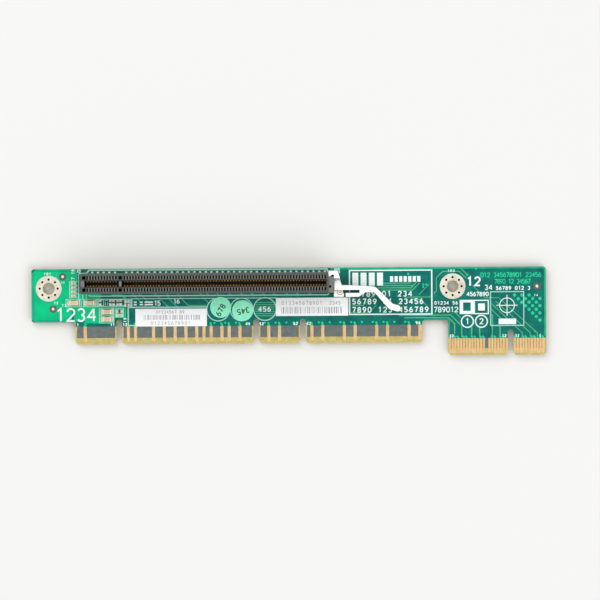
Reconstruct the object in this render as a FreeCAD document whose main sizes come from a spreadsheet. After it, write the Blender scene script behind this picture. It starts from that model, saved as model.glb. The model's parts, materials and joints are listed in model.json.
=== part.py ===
import FreeCAD, Part
import math
import os

import Sketcher

# A riser card for a server, lying flat with its slot upwards.
# Every sketch is drawn from the board's top left corner: x runs right along the board, and y runs up, so the
# board itself lies below y = 0. Lengths that run down from the top edge have names ending in _down.
# Heights are measured from the board's upper face, apart from the board itself.

doc = FreeCAD.newDocument("riser_card")
sheet = doc.addObject("Spreadsheet::Sheet", "Sizes")

SIZES = {
    # circuit board
    "board_length": 181.5,
    "board_depth": 31.2,
    "board_thick": 1.57,
    "shoulder_down": 18.88,
    "left_corner_round": 0.9,
    "right_corner_round": 1.2,
    "shoulder_round": 0.9,
    "tab_chamfer": 0.9,
    "cutter_overrun": 1.0,
    "bevel_run": 1.1,
    "bevel_depth": 0.4,
    # wide tab, for a 64 bit host slot
    "wide_pitch": 1.27,
    "wide_key_x": 30.9,
    "wide_key_to_middle": 48.26,
    "middle_to_right_key": 16.51,
    "wide_key_width": 1.85,
    "wide_key_top_down": 18.1,
    "wide_tab_down": 26.65,
    "wide_side_margin": 0.85,
    "wide_finger_width": 1.05,
    "wide_finger_top_down": 20.4,
    "wide_finger_end_gap": 0.95,
    # narrow tab, for a four lane host slot
    "narrow_pitch": 1.0,
    "narrow_tab_x": 146.95,
    "narrow_edge_margin": 0.5,
    "narrow_key_x": 168.97,
    "narrow_key_width": 1.9,
    "narrow_key_top_down": 22.35,
    "narrow_finger_width": 0.7,
    "narrow_finger_top_down": 25.3,
    "narrow_finger_end_gap": 0.7,
    "finger_plating": 0.05,
    # mounting holes and their rings
    "mount_x": 6.1,
    "mount_down": 6.85,
    "mount_spacing": 142.45,
    "mount_hole_r": 1.95,
    "ring_inner_r": 2.2,
    "ring_outer_r": 4.55,
    "tinned_plating": 0.05,
    "fiducial_r": 0.5,
    "upper_mark_x": 11.05,
    "upper_mark_down": 2.7,
    "lower_mark_x": 7.6,
    "lower_mark_down": 14.1,
    "right_mark_from_end": 3.2,
    "right_mark_down": 7.0,
    # slot
    "slot_pitch": 1.0,
    "slot_pin_x": 20.53,
    "slot_down": 5.1,
    "slot_key_gap": 3.0,
    "slot_width": 7.0,
    "slot_rise": 11.25,
    "slot_left_margin": 2.95,
    "slot_right_margin": 1.1,
    "slot_foot": 0.4,
    "slot_edge_round": 0.3,
    "mouth_width": 2.5,
    "card_gap": 1.8,
    "lead_in": 1.0,
    "roof_thick": 1.5,
    "window_inner": 1.5,
    "window_outer": 2.75,
    "window_width": 0.55,
    "end_window_width": 1.2,
    "key_window_width": 1.2,
    "floor_rise": 1.6,
    "floor_thick": 0.8,
    "card_stop_rise": 3.0,
    "tail_slot_inner": 1.02,
    "tail_slot_outer": 2.8,
    "spine_half_width": 1.0,
    "skirt_thick": 0.22,
    "chamber_margin": 0.45,
    "gap_margin": 1.0,
    "end_window_offset": 1.18,
    "key_rib": 1.0,
    "key_rib_drop": 0.5,
    "peg_r": 1.175,
    "peg_clearance": 0.05,
    "peg_drop": 1.5,
    "end_peg_offset": 0.57,
    "end_block_length": 1.9,
    "end_block_top_down": 3.0,
    "end_block_drop": 0.5,
    "end_hole_r": 0.45,
    "end_hole_offset": 1.35,
    "end_hole_depth": 6.0,
    "hold_down_width": 0.45,
    "hold_down_length": 1.5,
    "hold_down_offset": 2.65,
    "hold_down_rise": 10.0,
    "hold_down_clearance": 0.05,
    # slot contacts
    "contact_width": 0.45,
    "contact_thick": 0.2,
    "tail_row_inner": 1.3,
    "tail_row_outer": 3.1,
    "touch_offset": 0.7,
    "touch_rise": 8.3,
    "tip_offset": 1.15,
    "tip_rise": 9.5,
    "solder_width": 0.8,
    "solder_drop": 1.2,
    # latch: offsets are from the pivot, right and up
    "latch_rise": 11.0,
    "latch_gap": 0.05,
    "pivot_from_end": 2.22,
    "pivot_below_slot": 3.23,
    "pivot_post_r": 0.45,
    "pivot_clearance": 0.05,
    "base_plate_thick": 1.2,
    "base_low": 1.77,
    "base_waist": 0.7,
    "base_waist_up": 2.23,
    "base_top_up": 7.25,
    "base_top_back": 0.8,
    "claw_under_up": 4.75,
    "claw_throat_up": 6.0,
    "claw_throat_back": 2.8,
    "claw_tip_width": 0.5,
    "stop_rise": 9.5,
    "stop_wall_back": 0.8,
    "stop_wall_up": 0.43,
    "foot_reach": 1.3,
    "foot_top_low": 0.42,
    "lever_lift": 0.3,
    "lever_top_drop": 0.2,
    "hub_r": 0.95,
    "hub_clearance": 0.2,
    "hub_drop": 1.0,
    "arm_back": 2.0,
    "arm_under_up": 0.63,
    "arm_top_up": 2.17,
    "arm_bend": 3.05,
    "nib_up": 3.93,
    "nib_tip_back": 0.15,
    "nib_root": 0.55,
    "nib_thick": 3.2,
    "nib_drop": 0.6,
    "nib_ramp": 1.2,
    "outer_bend": 12.35,
    "outer_bend_up": 1.62,
    "outer_bend_round": 2.4,
    "grip_hollow": 18.45,
    "grip_hollow_low": 4.47,
    "grip_hollow_round": 2.5,
    "grip_tip": 21.1,
    "grip_tip_low": 5.12,
    "grip_end": 20.65,
    "grip_end_low": 7.2,
    "grip_end_round": 0.8,
    "grip_belly": 17.05,
    "grip_belly_low": 6.14,
    "grip_belly_round": 2.2,
    "inner_bend": 12.0,
    "inner_bend_low": 0.27,
    "inner_bend_round": 1.3,
    "leg_knee": 8.85,
    "leg_knee_low": 0.17,
    "leg_heel": 6.45,
    "leg_under_low": 1.77,
    "leg_round": 1.0,
    "leg_end": 1.95,
    "leg_top_low": 0.47,
    "window_end": 6.75,
    # chip parts
    "chip_length": 3.2,
    "chip_width": 1.6,
    "chip_rise": 1.25,
    "chip_end": 0.6,
    "small_length": 1.1,
    "small_width": 0.55,
    "small_rise": 0.5,
    "small_end": 0.3,
    "medium_length": 1.6,
    "medium_width": 0.8,
    "medium_rise": 0.5,
    "medium_end": 0.4,
    "chip_end_proud": 0.04,
    "capacitor_1_x": 14.9,
    "capacitor_2_x": 20.7,
    "capacitor_row_down": 12.0,
    "capacitor_pair_x": 26.6,
    "capacitor_3_down": 15.2,
    "capacitor_4_down": 17.75,
    "chip_column_x": 14.9,
    "chip_column_down": 5.1,
    "chip_column_pitch": 1.44,
    "upright_row_down": 11.9,
    "upright_1_x": 24.2,
    "upright_2_x": 27.8,
    "upright_3_x": 28.9,
    "upright_4_x": 30.35,
    "upright_5_x": 31.4,
    "lying_pair_x": 33.7,
    "lying_pair_down": 11.5,
    "lying_pair_pitch": 1.3,
    "medium_pair_x": 31.0,
    "medium_pair_down": 15.0,
    "medium_pair_pitch": 1.35,
    # labels
    "label_thick": 0.1,
    "left_label_x": 36.6,
    "left_label_down": 14.2,
    "left_label_length": 25.2,
    "left_label_depth": 6.2,
    "right_label_x": 86.2,
    "right_label_down": 10.6,
    "right_label_length": 25.5,
    "right_label_depth": 6.4,
    "sticker_r": 3.7,
    "left_sticker_x": 66.7,
    "left_sticker_down": 13.8,
    "right_sticker_x": 74.4,
    "right_sticker_down": 15.0,
}
for row, (alias, number) in enumerate(SIZES.items(), start=1):
    sheet.set(f"A{row}", alias)
    sheet.set(f"B{row}", str(number))
    sheet.setAlias(f"B{row}", alias)
doc.recompute()

# How many contact places each tab has on a face, and where the keys stand in that count. A key's middle lies
# between two places, and the wide tab's count runs on over its keys.
WIDE_CONTACTS = 94
LEFT_KEY_COUNT = 12.5
MIDDLE_KEY_COUNT = 50.5
RIGHT_KEY_COUNT = 61.5
LAST_BEFORE_LEFT_KEY = 11
LAST_BEFORE_MIDDLE_KEY = 49
LAST_BEFORE_RIGHT_KEY = 62
NARROW_CONTACTS = 32
NARROW_LAST_RIGHT = 11
NARROW_RIGHT_COUNT = 12.5
NARROW_LEFT_COUNT = 10.5

# How many contacts the slot has in each row, left and right of its key.
SLOT_LEFT_PINS = 11
SLOT_RIGHT_PINS = 71

# Places worked out from the sizes above, as expressions over the sheet's names.
MIDDLE_KEY_X = "(wide_key_x + wide_key_to_middle)"
RIGHT_KEY_X = f"({MIDDLE_KEY_X} + middle_to_right_key)"


def wide_contact_x(number):
    """Where a numbered contact of the wide tab lies."""
    if number <= LAST_BEFORE_LEFT_KEY:
        return f"(wide_key_x - ({LEFT_KEY_COUNT} - {number}) * wide_pitch)"
    if number <= LAST_BEFORE_MIDDLE_KEY:
        return f"(wide_key_x + ({number} - {LEFT_KEY_COUNT}) * wide_pitch)"
    if number <= LAST_BEFORE_RIGHT_KEY:
        return f"({MIDDLE_KEY_X} + ({number} - {MIDDLE_KEY_COUNT}) * wide_pitch)"
    return f"({RIGHT_KEY_X} + ({number} - {RIGHT_KEY_COUNT}) * wide_pitch)"


def narrow_contact_x(number):
    """Where a numbered contact of the narrow tab lies, counted from its right end."""
    if number <= NARROW_LAST_RIGHT:
        return f"(narrow_key_x + ({NARROW_RIGHT_COUNT} - {number}) * narrow_pitch)"
    return f"(narrow_key_x - ({number} - {NARROW_LEFT_COUNT}) * narrow_pitch)"


WIDE_TAB_LEFT = f"({wide_contact_x(1)} - wide_side_margin)"
WIDE_TAB_RIGHT = f"({wide_contact_x(WIDE_CONTACTS)} + wide_side_margin)"
SLOT_LEFT = "(slot_pin_x - slot_left_margin)"
SLOT_PIN_11_X = f"(slot_pin_x + {SLOT_LEFT_PINS - 1} * slot_pitch)"
SLOT_PIN_12_X = f"({SLOT_PIN_11_X} + slot_key_gap)"
SLOT_LAST_PIN_X = f"({SLOT_PIN_12_X} + {SLOT_RIGHT_PINS - 1} * slot_pitch)"
SLOT_RIGHT = f"({SLOT_LAST_PIN_X} + slot_right_margin)"
SLOT_KEY_X = f"({SLOT_PIN_11_X} + slot_key_gap / 2)"
END_BLOCK_RIGHT = f"({SLOT_RIGHT} + end_block_length)"
LATCH_LEFT = f"({END_BLOCK_RIGHT} + latch_gap)"
PIVOT_X = f"({END_BLOCK_RIGHT} + pivot_from_end)"
PIVOT_Y = "(-slot_down - pivot_below_slot)"
LEVER_UNDER = "(base_plate_thick + lever_lift)"
LEVER_TOP = "(latch_rise - lever_top_drop)"
END_PEG_X = f"({SLOT_RIGHT} + end_peg_offset)"
ROOF_UNDER = "(slot_rise - roof_thick)"
FLOOR_TOP = "(floor_rise + floor_thick)"
BOARD_TOP = "(peg_drop + board_thick)"


def with_sheet(expression):
    """The expression with each size's name pointing at the sheet, for use in another object."""
    words = []
    word = ""
    for letter in expression + " ":
        if letter.isalnum() or letter == "_":
            word += letter
            continue
        words.append(f"Sizes.{word}" if word in SIZES else word)
        words.append(letter)
        word = ""
    return "".join(words).strip()


def value(expression):
    """The number that an expression has now."""
    return float(sheet.evalExpression(str(expression)))


def bind(item, prop, expression):
    """Ties one property of an object to the sheet."""
    item.setExpression(prop, with_sheet(str(expression)))


def place_at_corner(item, rise):
    """Puts an object's origin at the board's top left corner, at a height above the ground."""
    bind(item, "Placement.Base.x", "-board_length / 2")
    bind(item, "Placement.Base.y", "board_depth / 2")
    bind(item, "Placement.Base.z", rise)


def new_body(label, rise=BOARD_TOP):
    """A body drawn from the board's top left corner."""
    body = doc.addObject("PartDesign::Body", label)
    body.Label = label
    place_at_corner(body, rise)
    return body


def origin_part(body, role):
    """One of the body's own origin planes or axes."""
    return next(item for item in body.Origin.OriginFeatures if item.Role == role)


def new_sketch(body, name, role="XY_Plane", rise=None):
    """A sketch on one of the body's origin planes, raised along its normal."""
    sketch = body.newObject("Sketcher::SketchObject", name)
    sketch.AttachmentSupport = (origin_part(body, role), [""])
    sketch.MapMode = "FlatFace"
    if rise is not None:
        bind(sketch, "AttachmentOffset.Base.z", rise)
    return sketch


def hold_point(sketch, edge, end, x, y):
    """Dimensions one end of an edge from the sketch's origin."""
    for kind, where in (("DistanceX", x), ("DistanceY", y)):
        number = sketch.addConstraint(Sketcher.Constraint(kind, -1, 1, edge, end, value(where)))
        bind(sketch, f"Constraints[{number}]", where)


def draw_outline(sketch, corners):
    """A closed outline of straight sides through dimensioned corners."""
    places = [FreeCAD.Vector(value(x), value(y), 0) for x, y in corners]
    count = len(places)
    edges = [
        sketch.addGeometry(Part.LineSegment(places[i], places[(i + 1) % count]), False)
        for i in range(count)
    ]
    for i in range(count):
        sketch.addConstraint(Sketcher.Constraint("Coincident", edges[i], 2, edges[(i + 1) % count], 1))
    for edge, (x, y) in zip(edges, corners):
        hold_point(sketch, edge, 1, x, y)


def draw_rectangle(sketch, left, low, right, high):
    """A rectangle between two x places and two y places."""
    draw_outline(sketch, [(left, low), (right, low), (right, high), (left, high)])


def draw_circle(sketch, x, y, radius):
    """A dimensioned circle."""
    centre = FreeCAD.Vector(value(x), value(y), 0)
    circle = Part.Circle(centre, FreeCAD.Vector(0, 0, 1), value(radius))
    edge = sketch.addGeometry(circle, False)
    hold_point(sketch, edge, 3, x, y)
    number = sketch.addConstraint(Sketcher.Constraint("Radius", edge, value(radius)))
    bind(sketch, f"Constraints[{number}]", radius)


def draw_key(sketch, x, width, top, bottom):
    """A key notch: straight sides up from the tab's edge and a half-round top."""
    left = f"({x} - {width} / 2)"
    right = f"({x} + {width} / 2)"
    spring = f"({top} - {width} / 2)"
    radius = value(width) / 2
    centre = FreeCAD.Vector(value(x), value(spring), 0)
    arc = Part.ArcOfCircle(Part.Circle(centre, FreeCAD.Vector(0, 0, 1), radius), 0, math.pi)
    top_edge = sketch.addGeometry(arc, False)
    places = [(left, spring), (left, bottom), (right, bottom), (right, spring)]
    points = [FreeCAD.Vector(value(px), value(py), 0) for px, py in places]
    sides = [sketch.addGeometry(Part.LineSegment(points[i], points[i + 1]), False) for i in range(3)]
    sketch.addConstraint(Sketcher.Constraint("Coincident", top_edge, 2, sides[0], 1))
    sketch.addConstraint(Sketcher.Constraint("Coincident", sides[0], 2, sides[1], 1))
    sketch.addConstraint(Sketcher.Constraint("Coincident", sides[1], 2, sides[2], 1))
    sketch.addConstraint(Sketcher.Constraint("Coincident", sides[2], 2, top_edge, 1))
    for edge, place in zip(sides, places):
        hold_point(sketch, edge, 1, *place)
    hold_point(sketch, sides[2], 2, right, spring)
    number = sketch.addConstraint(Sketcher.Constraint("DistanceY", -1, 1, top_edge, 3, value(spring)))
    bind(sketch, f"Constraints[{number}]", spring)


def pad(body, sketch, length, name="pad"):
    """Raises a sketch into a solid."""
    feature = body.newObject("PartDesign::Pad", name)
    feature.Profile = sketch
    bind(feature, "Length", length)
    doc.recompute()
    return feature


def pocket(body, sketch, depth, upwards=False, name="pocket"):
    """Cuts a sketch into the solid, downwards unless told otherwise, and makes sure that it cut something."""
    before = body.Shape.Volume
    feature = body.newObject("PartDesign::Pocket", name)
    feature.Profile = sketch
    feature.Reversed = upwards
    bind(feature, "Length", depth)
    doc.recompute()
    if not feature.Shape.Volume < before:
        raise ValueError(f"{body.Label}: {name} cuts nothing")
    return feature


def repeat(body, feature, pitch, count):
    """Repeats a feature along the board."""
    pattern = body.newObject("PartDesign::LinearPattern", "row")
    pattern.Originals = [feature]
    pattern.Direction = (origin_part(body, "X_Axis"), [""])
    pattern.Mode = "Spacing"
    bind(pattern, "Offset", pitch)
    pattern.Occurrences = count
    body.Tip = pattern
    doc.recompute()
    return pattern


NEAR = 1e-4


def upright_edges(shape, places):
    """Names of the edges that stand upright at the given places of the outline."""
    names = []
    for x, y in places:
        spot = FreeCAD.Vector(value(x), value(y), 0)
        for number, edge in enumerate(shape.Edges, start=1):
            start, end = edge.firstVertex().Point, edge.lastVertex().Point
            upright = math.hypot(start.x - end.x, start.y - end.y) < NEAR
            if upright and math.hypot(start.x - spot.x, start.y - spot.y) < NEAR:
                names.append(f"Edge{number}")
    return names


def round_corners(body, feature, places, radius):
    """Rounds upright corners."""
    fillet = body.newObject("PartDesign::Fillet", "rounding")
    fillet.Base = (feature, upright_edges(feature.Shape, places))
    bind(fillet, "Radius", radius)
    doc.recompute()
    return fillet


def bevel_corners(body, feature, places, size):
    """Cuts upright corners at 45 degrees."""
    chamfer = body.newObject("PartDesign::Chamfer", "corner_bevel")
    chamfer.Base = (feature, upright_edges(feature.Shape, places))
    bind(chamfer, "Size", size)
    doc.recompute()
    return chamfer


# ---- circuit board -------------------------------------------------------------------------------

WIDE_KEYS = ["wide_key_x", MIDDLE_KEY_X, RIGHT_KEY_X]


def make_board():
    """The laminate: one outline with two tabs, their keys, bevelled lower edges and all its holes."""
    body = new_body("circuit_board", "peg_drop")
    outline = new_sketch(body, "board_outline")
    top_left = ("0", "0")
    top_right = ("board_length", "0")
    low_right = ("board_length", "-board_depth")
    narrow_low = ("narrow_tab_x", "-board_depth")
    narrow_inner = ("narrow_tab_x", "-shoulder_down")
    wide_inner_right = (WIDE_TAB_RIGHT, "-shoulder_down")
    wide_low_right = (WIDE_TAB_RIGHT, "-wide_tab_down")
    wide_low_left = (WIDE_TAB_LEFT, "-wide_tab_down")
    wide_inner_left = (WIDE_TAB_LEFT, "-shoulder_down")
    low_left = ("0", "-shoulder_down")
    draw_outline(
        outline,
        [
            top_left,
            low_left,
            wide_inner_left,
            wide_low_left,
            wide_low_right,
            wide_inner_right,
            narrow_inner,
            narrow_low,
            low_right,
            top_right,
        ],
    )
    plate = pad(body, outline, "board_thick", "laminate")
    keys = new_sketch(body, "keys", rise="board_thick")
    for key_x in WIDE_KEYS:
        draw_key(keys, key_x, "wide_key_width", "-wide_key_top_down", "(-wide_tab_down - cutter_overrun)")
    narrow_overrun = "(-board_depth - cutter_overrun)"
    draw_key(keys, "narrow_key_x", "narrow_key_width", "-narrow_key_top_down", narrow_overrun)
    plate = pocket(body, keys, "board_thick", name="key_notches")

    bevelled = [wide_low_left, wide_low_right, narrow_low, low_right]
    for key_x in WIDE_KEYS:
        for side in ("-", "+"):
            bevelled.append((f"({key_x} {side} wide_key_width / 2)", "-wide_tab_down"))
    for side in ("-", "+"):
        bevelled.append((f"(narrow_key_x {side} narrow_key_width / 2)", "-board_depth"))
    plate = bevel_corners(body, plate, bevelled, "tab_chamfer")
    plate = round_corners(body, plate, [top_left, low_left], "left_corner_round")
    plate = round_corners(body, plate, [top_right], "right_corner_round")
    plate = round_corners(body, plate, [wide_inner_left, wide_inner_right, narrow_inner], "shoulder_round")

    tabs = (
        ("wide_bevel", WIDE_TAB_LEFT, WIDE_TAB_RIGHT, "-wide_tab_down"),
        ("narrow_bevel", "narrow_tab_x", "board_length", "-board_depth"),
    )
    for name, left, right, low in tabs:
        profile = new_sketch(body, name, "YZ_Plane", left)
        inner = f"({low} + bevel_run)"
        upper_low = "(board_thick - bevel_depth)"
        draw_outline(profile, [(low, "board_thick"), (inner, "board_thick"), (low, upper_low)])
        draw_outline(profile, [(low, "0"), (inner, "0"), (low, "bevel_depth")])
        pocket(body, profile, f"({right} - {left})", upwards=True, name=f"{name}_cut")

    holes = new_sketch(body, "holes", rise="board_thick")
    for x in ("mount_x", "(mount_x + mount_spacing)"):
        draw_circle(holes, x, "-mount_down", "mount_hole_r")
    for x in (SLOT_KEY_X, END_PEG_X):
        draw_circle(holes, x, "-slot_down", "(peg_r + peg_clearance)")
    pocket(body, holes, "board_thick", name="round_holes")
    return body


# ---- gold fingers --------------------------------------------------------------------------------

# Contact numbers of the wide tab that carry a finger on each face; the rest are left bare.
WIDE_FRONT = [3, 15, 17, 22, 25, 28, 31, 34, 36, 38, 41, 43, 46, 54, 57, 64, 67, 73, 76, 82, 85, 91, 94]
WIDE_BACK = [2, 5, 8, 10, 14, 16, 18, 21, 24, 27, 30, 33, 35, 37, 39, 42, 45, 48, 53, 56, 59, 61, 62]
WIDE_BACK += [63, 66, 69, 72, 75, 78, 81, 84, 87, 90, 93]
NARROW_SKIPPED_FRONT = [19]


def narrow_places(skipped=()):
    """The narrow tab's contact places that lie on the board, without the skipped ones."""
    last = value("board_length - narrow_edge_margin - narrow_finger_width / 2")
    numbers = [n for n in range(1, NARROW_CONTACTS + 1) if n not in skipped]
    return [narrow_contact_x(n) for n in numbers if value(narrow_contact_x(n)) <= last]


def make_fingers(label, rise, places, width, top, bottom):
    """One face's fingers: a thin plate for each contact place, between two heights on the board."""
    plates = []
    for x in places:
        plate = doc.addObject("Part::Box", f"{label}_plate")
        bind(plate, "Length", width)
        bind(plate, "Width", f"({top} - {bottom})")
        bind(plate, "Height", "finger_plating")
        bind(plate, "Placement.Base.x", f"({x} - {width} / 2)")
        bind(plate, "Placement.Base.y", bottom)
        plates.append(plate)
    fingers = doc.addObject("Part::Compound", label)
    fingers.Label = label
    fingers.Links = plates
    place_at_corner(fingers, rise)
    doc.recompute()
    return fingers


def make_all_fingers():
    """Both faces of both tabs."""
    under = "(peg_drop - finger_plating)"
    wide = ("wide_finger_width", "-wide_finger_top_down", "(wide_finger_end_gap - wide_tab_down)")
    narrow = ("narrow_finger_width", "-narrow_finger_top_down", "(narrow_finger_end_gap - board_depth)")
    return [
        make_fingers("wide_fingers_front", BOARD_TOP, [wide_contact_x(n) for n in WIDE_FRONT], *wide),
        make_fingers("wide_fingers_back", under, [wide_contact_x(n) for n in WIDE_BACK], *wide),
        make_fingers("narrow_fingers_front", BOARD_TOP, narrow_places(NARROW_SKIPPED_FRONT), *narrow),
        make_fingers("narrow_fingers_back", under, narrow_places(), *narrow),
    ]


# ---- tinned rings and marks ----------------------------------------------------------------------


def make_ring(label, x):
    """The tinned ring round a mounting hole."""
    body = new_body(label)
    sketch = new_sketch(body, "ring")
    draw_circle(sketch, x, "-mount_down", "ring_outer_r")
    draw_circle(sketch, x, "-mount_down", "ring_inner_r")
    pad(body, sketch, "tinned_plating", "ring_plating")
    return body


def make_fiducials():
    """Three round placement marks."""
    body = new_body("fiducial_dots")
    sketch = new_sketch(body, "dots")
    draw_circle(sketch, "upper_mark_x", "-upper_mark_down", "fiducial_r")
    draw_circle(sketch, "lower_mark_x", "-lower_mark_down", "fiducial_r")
    draw_circle(sketch, "(board_length - right_mark_from_end)", "-right_mark_down", "fiducial_r")
    pad(body, sketch, "tinned_plating", "dot_plating")
    return body


# ---- slot ----------------------------------------------------------------------------------------


def slot_band(inner, outer, side):
    """The two y places of a band that runs along the slot, above (1) or below (-1) its middle line."""
    low, high = (inner, outer) if side > 0 else (f"-{outer}", f"-{inner}")
    return f"(-slot_down + {low})", f"(-slot_down + {high})"


def draw_bands(sketch, left, right, inner, outer):
    """The same band on both sides of the slot's middle line."""
    for side in (1, -1):
        low, high = slot_band(inner, outer, side)
        draw_rectangle(sketch, left, low, right, high)


def make_housing():
    """The moulded slot: body, end block, card gap with its key, contact chambers, windows and pegs."""
    body = new_body("slot_housing")
    half = "(slot_width / 2)"
    outline = new_sketch(body, "slot_outline", rise="slot_foot")
    draw_rectangle(outline, SLOT_LEFT, f"(-slot_down - {half})", SLOT_RIGHT, f"(-slot_down + {half})")
    block = pad(body, outline, "(slot_rise - slot_foot)", "slot_body")
    corners = [(SLOT_LEFT, f"(-slot_down {sign} {half})") for sign in ("-", "+")]
    round_corners(body, block, corners, "slot_edge_round")

    end = new_sketch(body, "end_outline", rise="0")
    end_left = f"({SLOT_RIGHT} - chamber_margin)"
    draw_rectangle(end, end_left, f"(-slot_down - {half})", END_BLOCK_RIGHT, "-end_block_top_down")
    pad(body, end, "(slot_rise - end_block_drop)", "end_block")

    gap_left = "(slot_pin_x - gap_margin)"
    chamber_left = "(slot_pin_x - end_window_offset - end_window_width / 2)"
    chamber_right = f"({SLOT_LAST_PIN_X} + chamber_margin)"
    row_left = "(slot_pin_x - chamber_margin)"

    trough = new_sketch(body, "under_trough", rise="slot_foot")
    draw_bands(trough, row_left, chamber_right, "spine_half_width", f"({half} - skirt_thick)")
    pocket(body, trough, "(floor_rise - slot_foot)", upwards=True, name="under_relief")

    foot = new_sketch(body, "spine", rise="0")
    spine_low, spine_high = "(-slot_down - spine_half_width)", "(-slot_down + spine_half_width)"
    draw_rectangle(foot, f"({SLOT_LEFT} + slot_edge_round)", spine_low, SLOT_RIGHT, spine_high)
    pad(body, foot, "floor_rise", "spine_foot")

    chambers = new_sketch(body, "chambers", rise=ROOF_UNDER)
    draw_bands(chambers, chamber_left, chamber_right, "(card_gap / 2 - contact_thick)", "window_outer")
    pocket(body, chambers, f"({ROOF_UNDER} - {FLOOR_TOP})", name="contact_chambers")

    tails = new_sketch(body, "tail_slots", rise=FLOOR_TOP)
    draw_bands(tails, row_left, chamber_right, "tail_slot_inner", "tail_slot_outer")
    pocket(body, tails, "floor_thick", name="tail_openings")

    gap = new_sketch(body, "card_gap", rise="slot_rise")
    gap_low, gap_high = "(-slot_down - card_gap / 2)", "(-slot_down + card_gap / 2)"
    draw_rectangle(gap, gap_left, gap_low, chamber_right, gap_high)
    pocket(body, gap, "(slot_rise - card_stop_rise)", name="card_slot")

    funnel = new_sketch(body, "mouth", "YZ_Plane", gap_left)
    mouth_low, mouth_high = "(-slot_down - mouth_width / 2)", "(-slot_down + mouth_width / 2)"
    lead_in_under = "(slot_rise - lead_in)"
    draw_outline(
        funnel,
        [
            (gap_low, lead_in_under),
            (gap_high, lead_in_under),
            (mouth_high, "slot_rise"),
            (mouth_low, "slot_rise"),
        ],
    )
    pocket(body, funnel, f"({chamber_right} - {gap_left})", upwards=True, name="lead_in_funnel")

    rib = new_sketch(body, "key_rib", rise=FLOOR_TOP)
    rib_left, rib_right = f"({SLOT_KEY_X} - key_rib / 2)", f"({SLOT_KEY_X} + key_rib / 2)"
    draw_rectangle(rib, rib_left, mouth_low, rib_right, mouth_high)
    pad(body, rib, f"(slot_rise - key_rib_drop - {FLOOR_TOP})", "key")

    end_details = new_sketch(body, "end_hole", rise="(slot_rise - end_block_drop)")
    draw_circle(end_details, END_PEG_X, "(-slot_down - end_hole_offset)", "end_hole_r")
    pocket(body, end_details, "end_hole_depth", name="blind_hole")
    seat = new_sketch(body, "tab_seat", rise="(slot_rise - end_block_drop)")
    draw_rectangle(seat, *hold_down_corners("hold_down_clearance"))
    pocket(body, seat, "(slot_rise - end_block_drop)", name="tab_slot")

    pegs = new_sketch(body, "peg_circles", rise="(-board_thick - peg_drop)")
    for x in (SLOT_KEY_X, END_PEG_X):
        draw_circle(pegs, x, "-slot_down", "peg_r")
    pad(body, pegs, "(board_thick + peg_drop + slot_foot)", "pegs")

    wide_windows = new_sketch(body, "end_windows", rise="slot_rise")
    end_window_right = "(slot_pin_x - end_window_offset + end_window_width / 2)"
    draw_bands(wide_windows, chamber_left, end_window_right, "window_inner", "window_outer")
    key_left, key_right = f"({SLOT_KEY_X} - key_window_width / 2)", f"({SLOT_KEY_X} + key_window_width / 2)"
    draw_bands(wide_windows, key_left, key_right, "window_inner", "window_outer")
    pocket(body, wide_windows, "roof_thick", name="wide_windows")

    runs = (("left", "slot_pin_x", SLOT_LEFT_PINS), ("right", SLOT_PIN_12_X, SLOT_RIGHT_PINS))
    for name, first, count in runs:
        window = new_sketch(body, f"{name}_window", rise="slot_rise")
        left, right = f"({first} - window_width / 2)", f"({first} + window_width / 2)"
        draw_bands(window, left, right, "window_inner", "window_outer")
        opening = pocket(body, window, "roof_thick", name=f"{name}_windows")
        repeat(body, opening, "slot_pitch", count)
    return body


def hold_down_corners(clearance):
    """Left, low, right and high sides of the metal tab, or of its slot when given a clearance."""
    middle = "(-slot_down - hold_down_offset)"
    return (
        f"({END_PEG_X} - hold_down_width / 2 - {clearance})",
        f"({middle} - hold_down_length / 2 - {clearance})",
        f"({END_PEG_X} + hold_down_width / 2 + {clearance})",
        f"({middle} + hold_down_length / 2 + {clearance})",
    )


def make_hold_down():
    """The metal tab that stands in the end block."""
    body = new_body("hold_down_tab")
    sketch = new_sketch(body, "tab_outline")
    draw_rectangle(sketch, *hold_down_corners("0"))
    pad(body, sketch, "hold_down_rise", "tab")
    return body


# ---- slot contacts and their solder --------------------------------------------------------------

# Every other contact has its tail in the inner row. Each run is named with the place of its first
# contact, how many contacts it has at twice the pitch, and its row.
CONTACT_RUNS = [
    ("left_inner", "slot_pin_x", (SLOT_LEFT_PINS + 1) // 2, "tail_row_inner"),
    ("left_outer", "(slot_pin_x + slot_pitch)", SLOT_LEFT_PINS // 2, "tail_row_outer"),
    ("right_outer", SLOT_PIN_12_X, (SLOT_RIGHT_PINS + 1) // 2, "tail_row_outer"),
    ("right_inner", f"({SLOT_PIN_12_X} + slot_pitch)", SLOT_RIGHT_PINS // 2, "tail_row_inner"),
]


def make_contacts(label, side):
    """One row of formed contacts: a spring leg that leans in from the board and a turned-back tip."""
    body = new_body(label)
    for name, first, count, tail_row in CONTACT_RUNS:
        sketch = new_sketch(body, f"{name}_profile", "YZ_Plane", first)
        bends = [(tail_row, "0"), ("touch_offset", "touch_rise"), ("tip_offset", "tip_rise")]
        half = "contact_thick / 2"
        outside = [(f"(-slot_down + ({offset} + {half}) * {side})", rise) for offset, rise in bends]
        inside = [(f"(-slot_down + ({offset} - {half}) * {side})", rise) for offset, rise in reversed(bends)]
        draw_outline(sketch, outside + inside)
        strip = pad(body, sketch, "contact_width", f"{name}_contact")
        strip.Midplane = True
        repeat(body, strip, "slot_pitch * 2", count)
    return body


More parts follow.
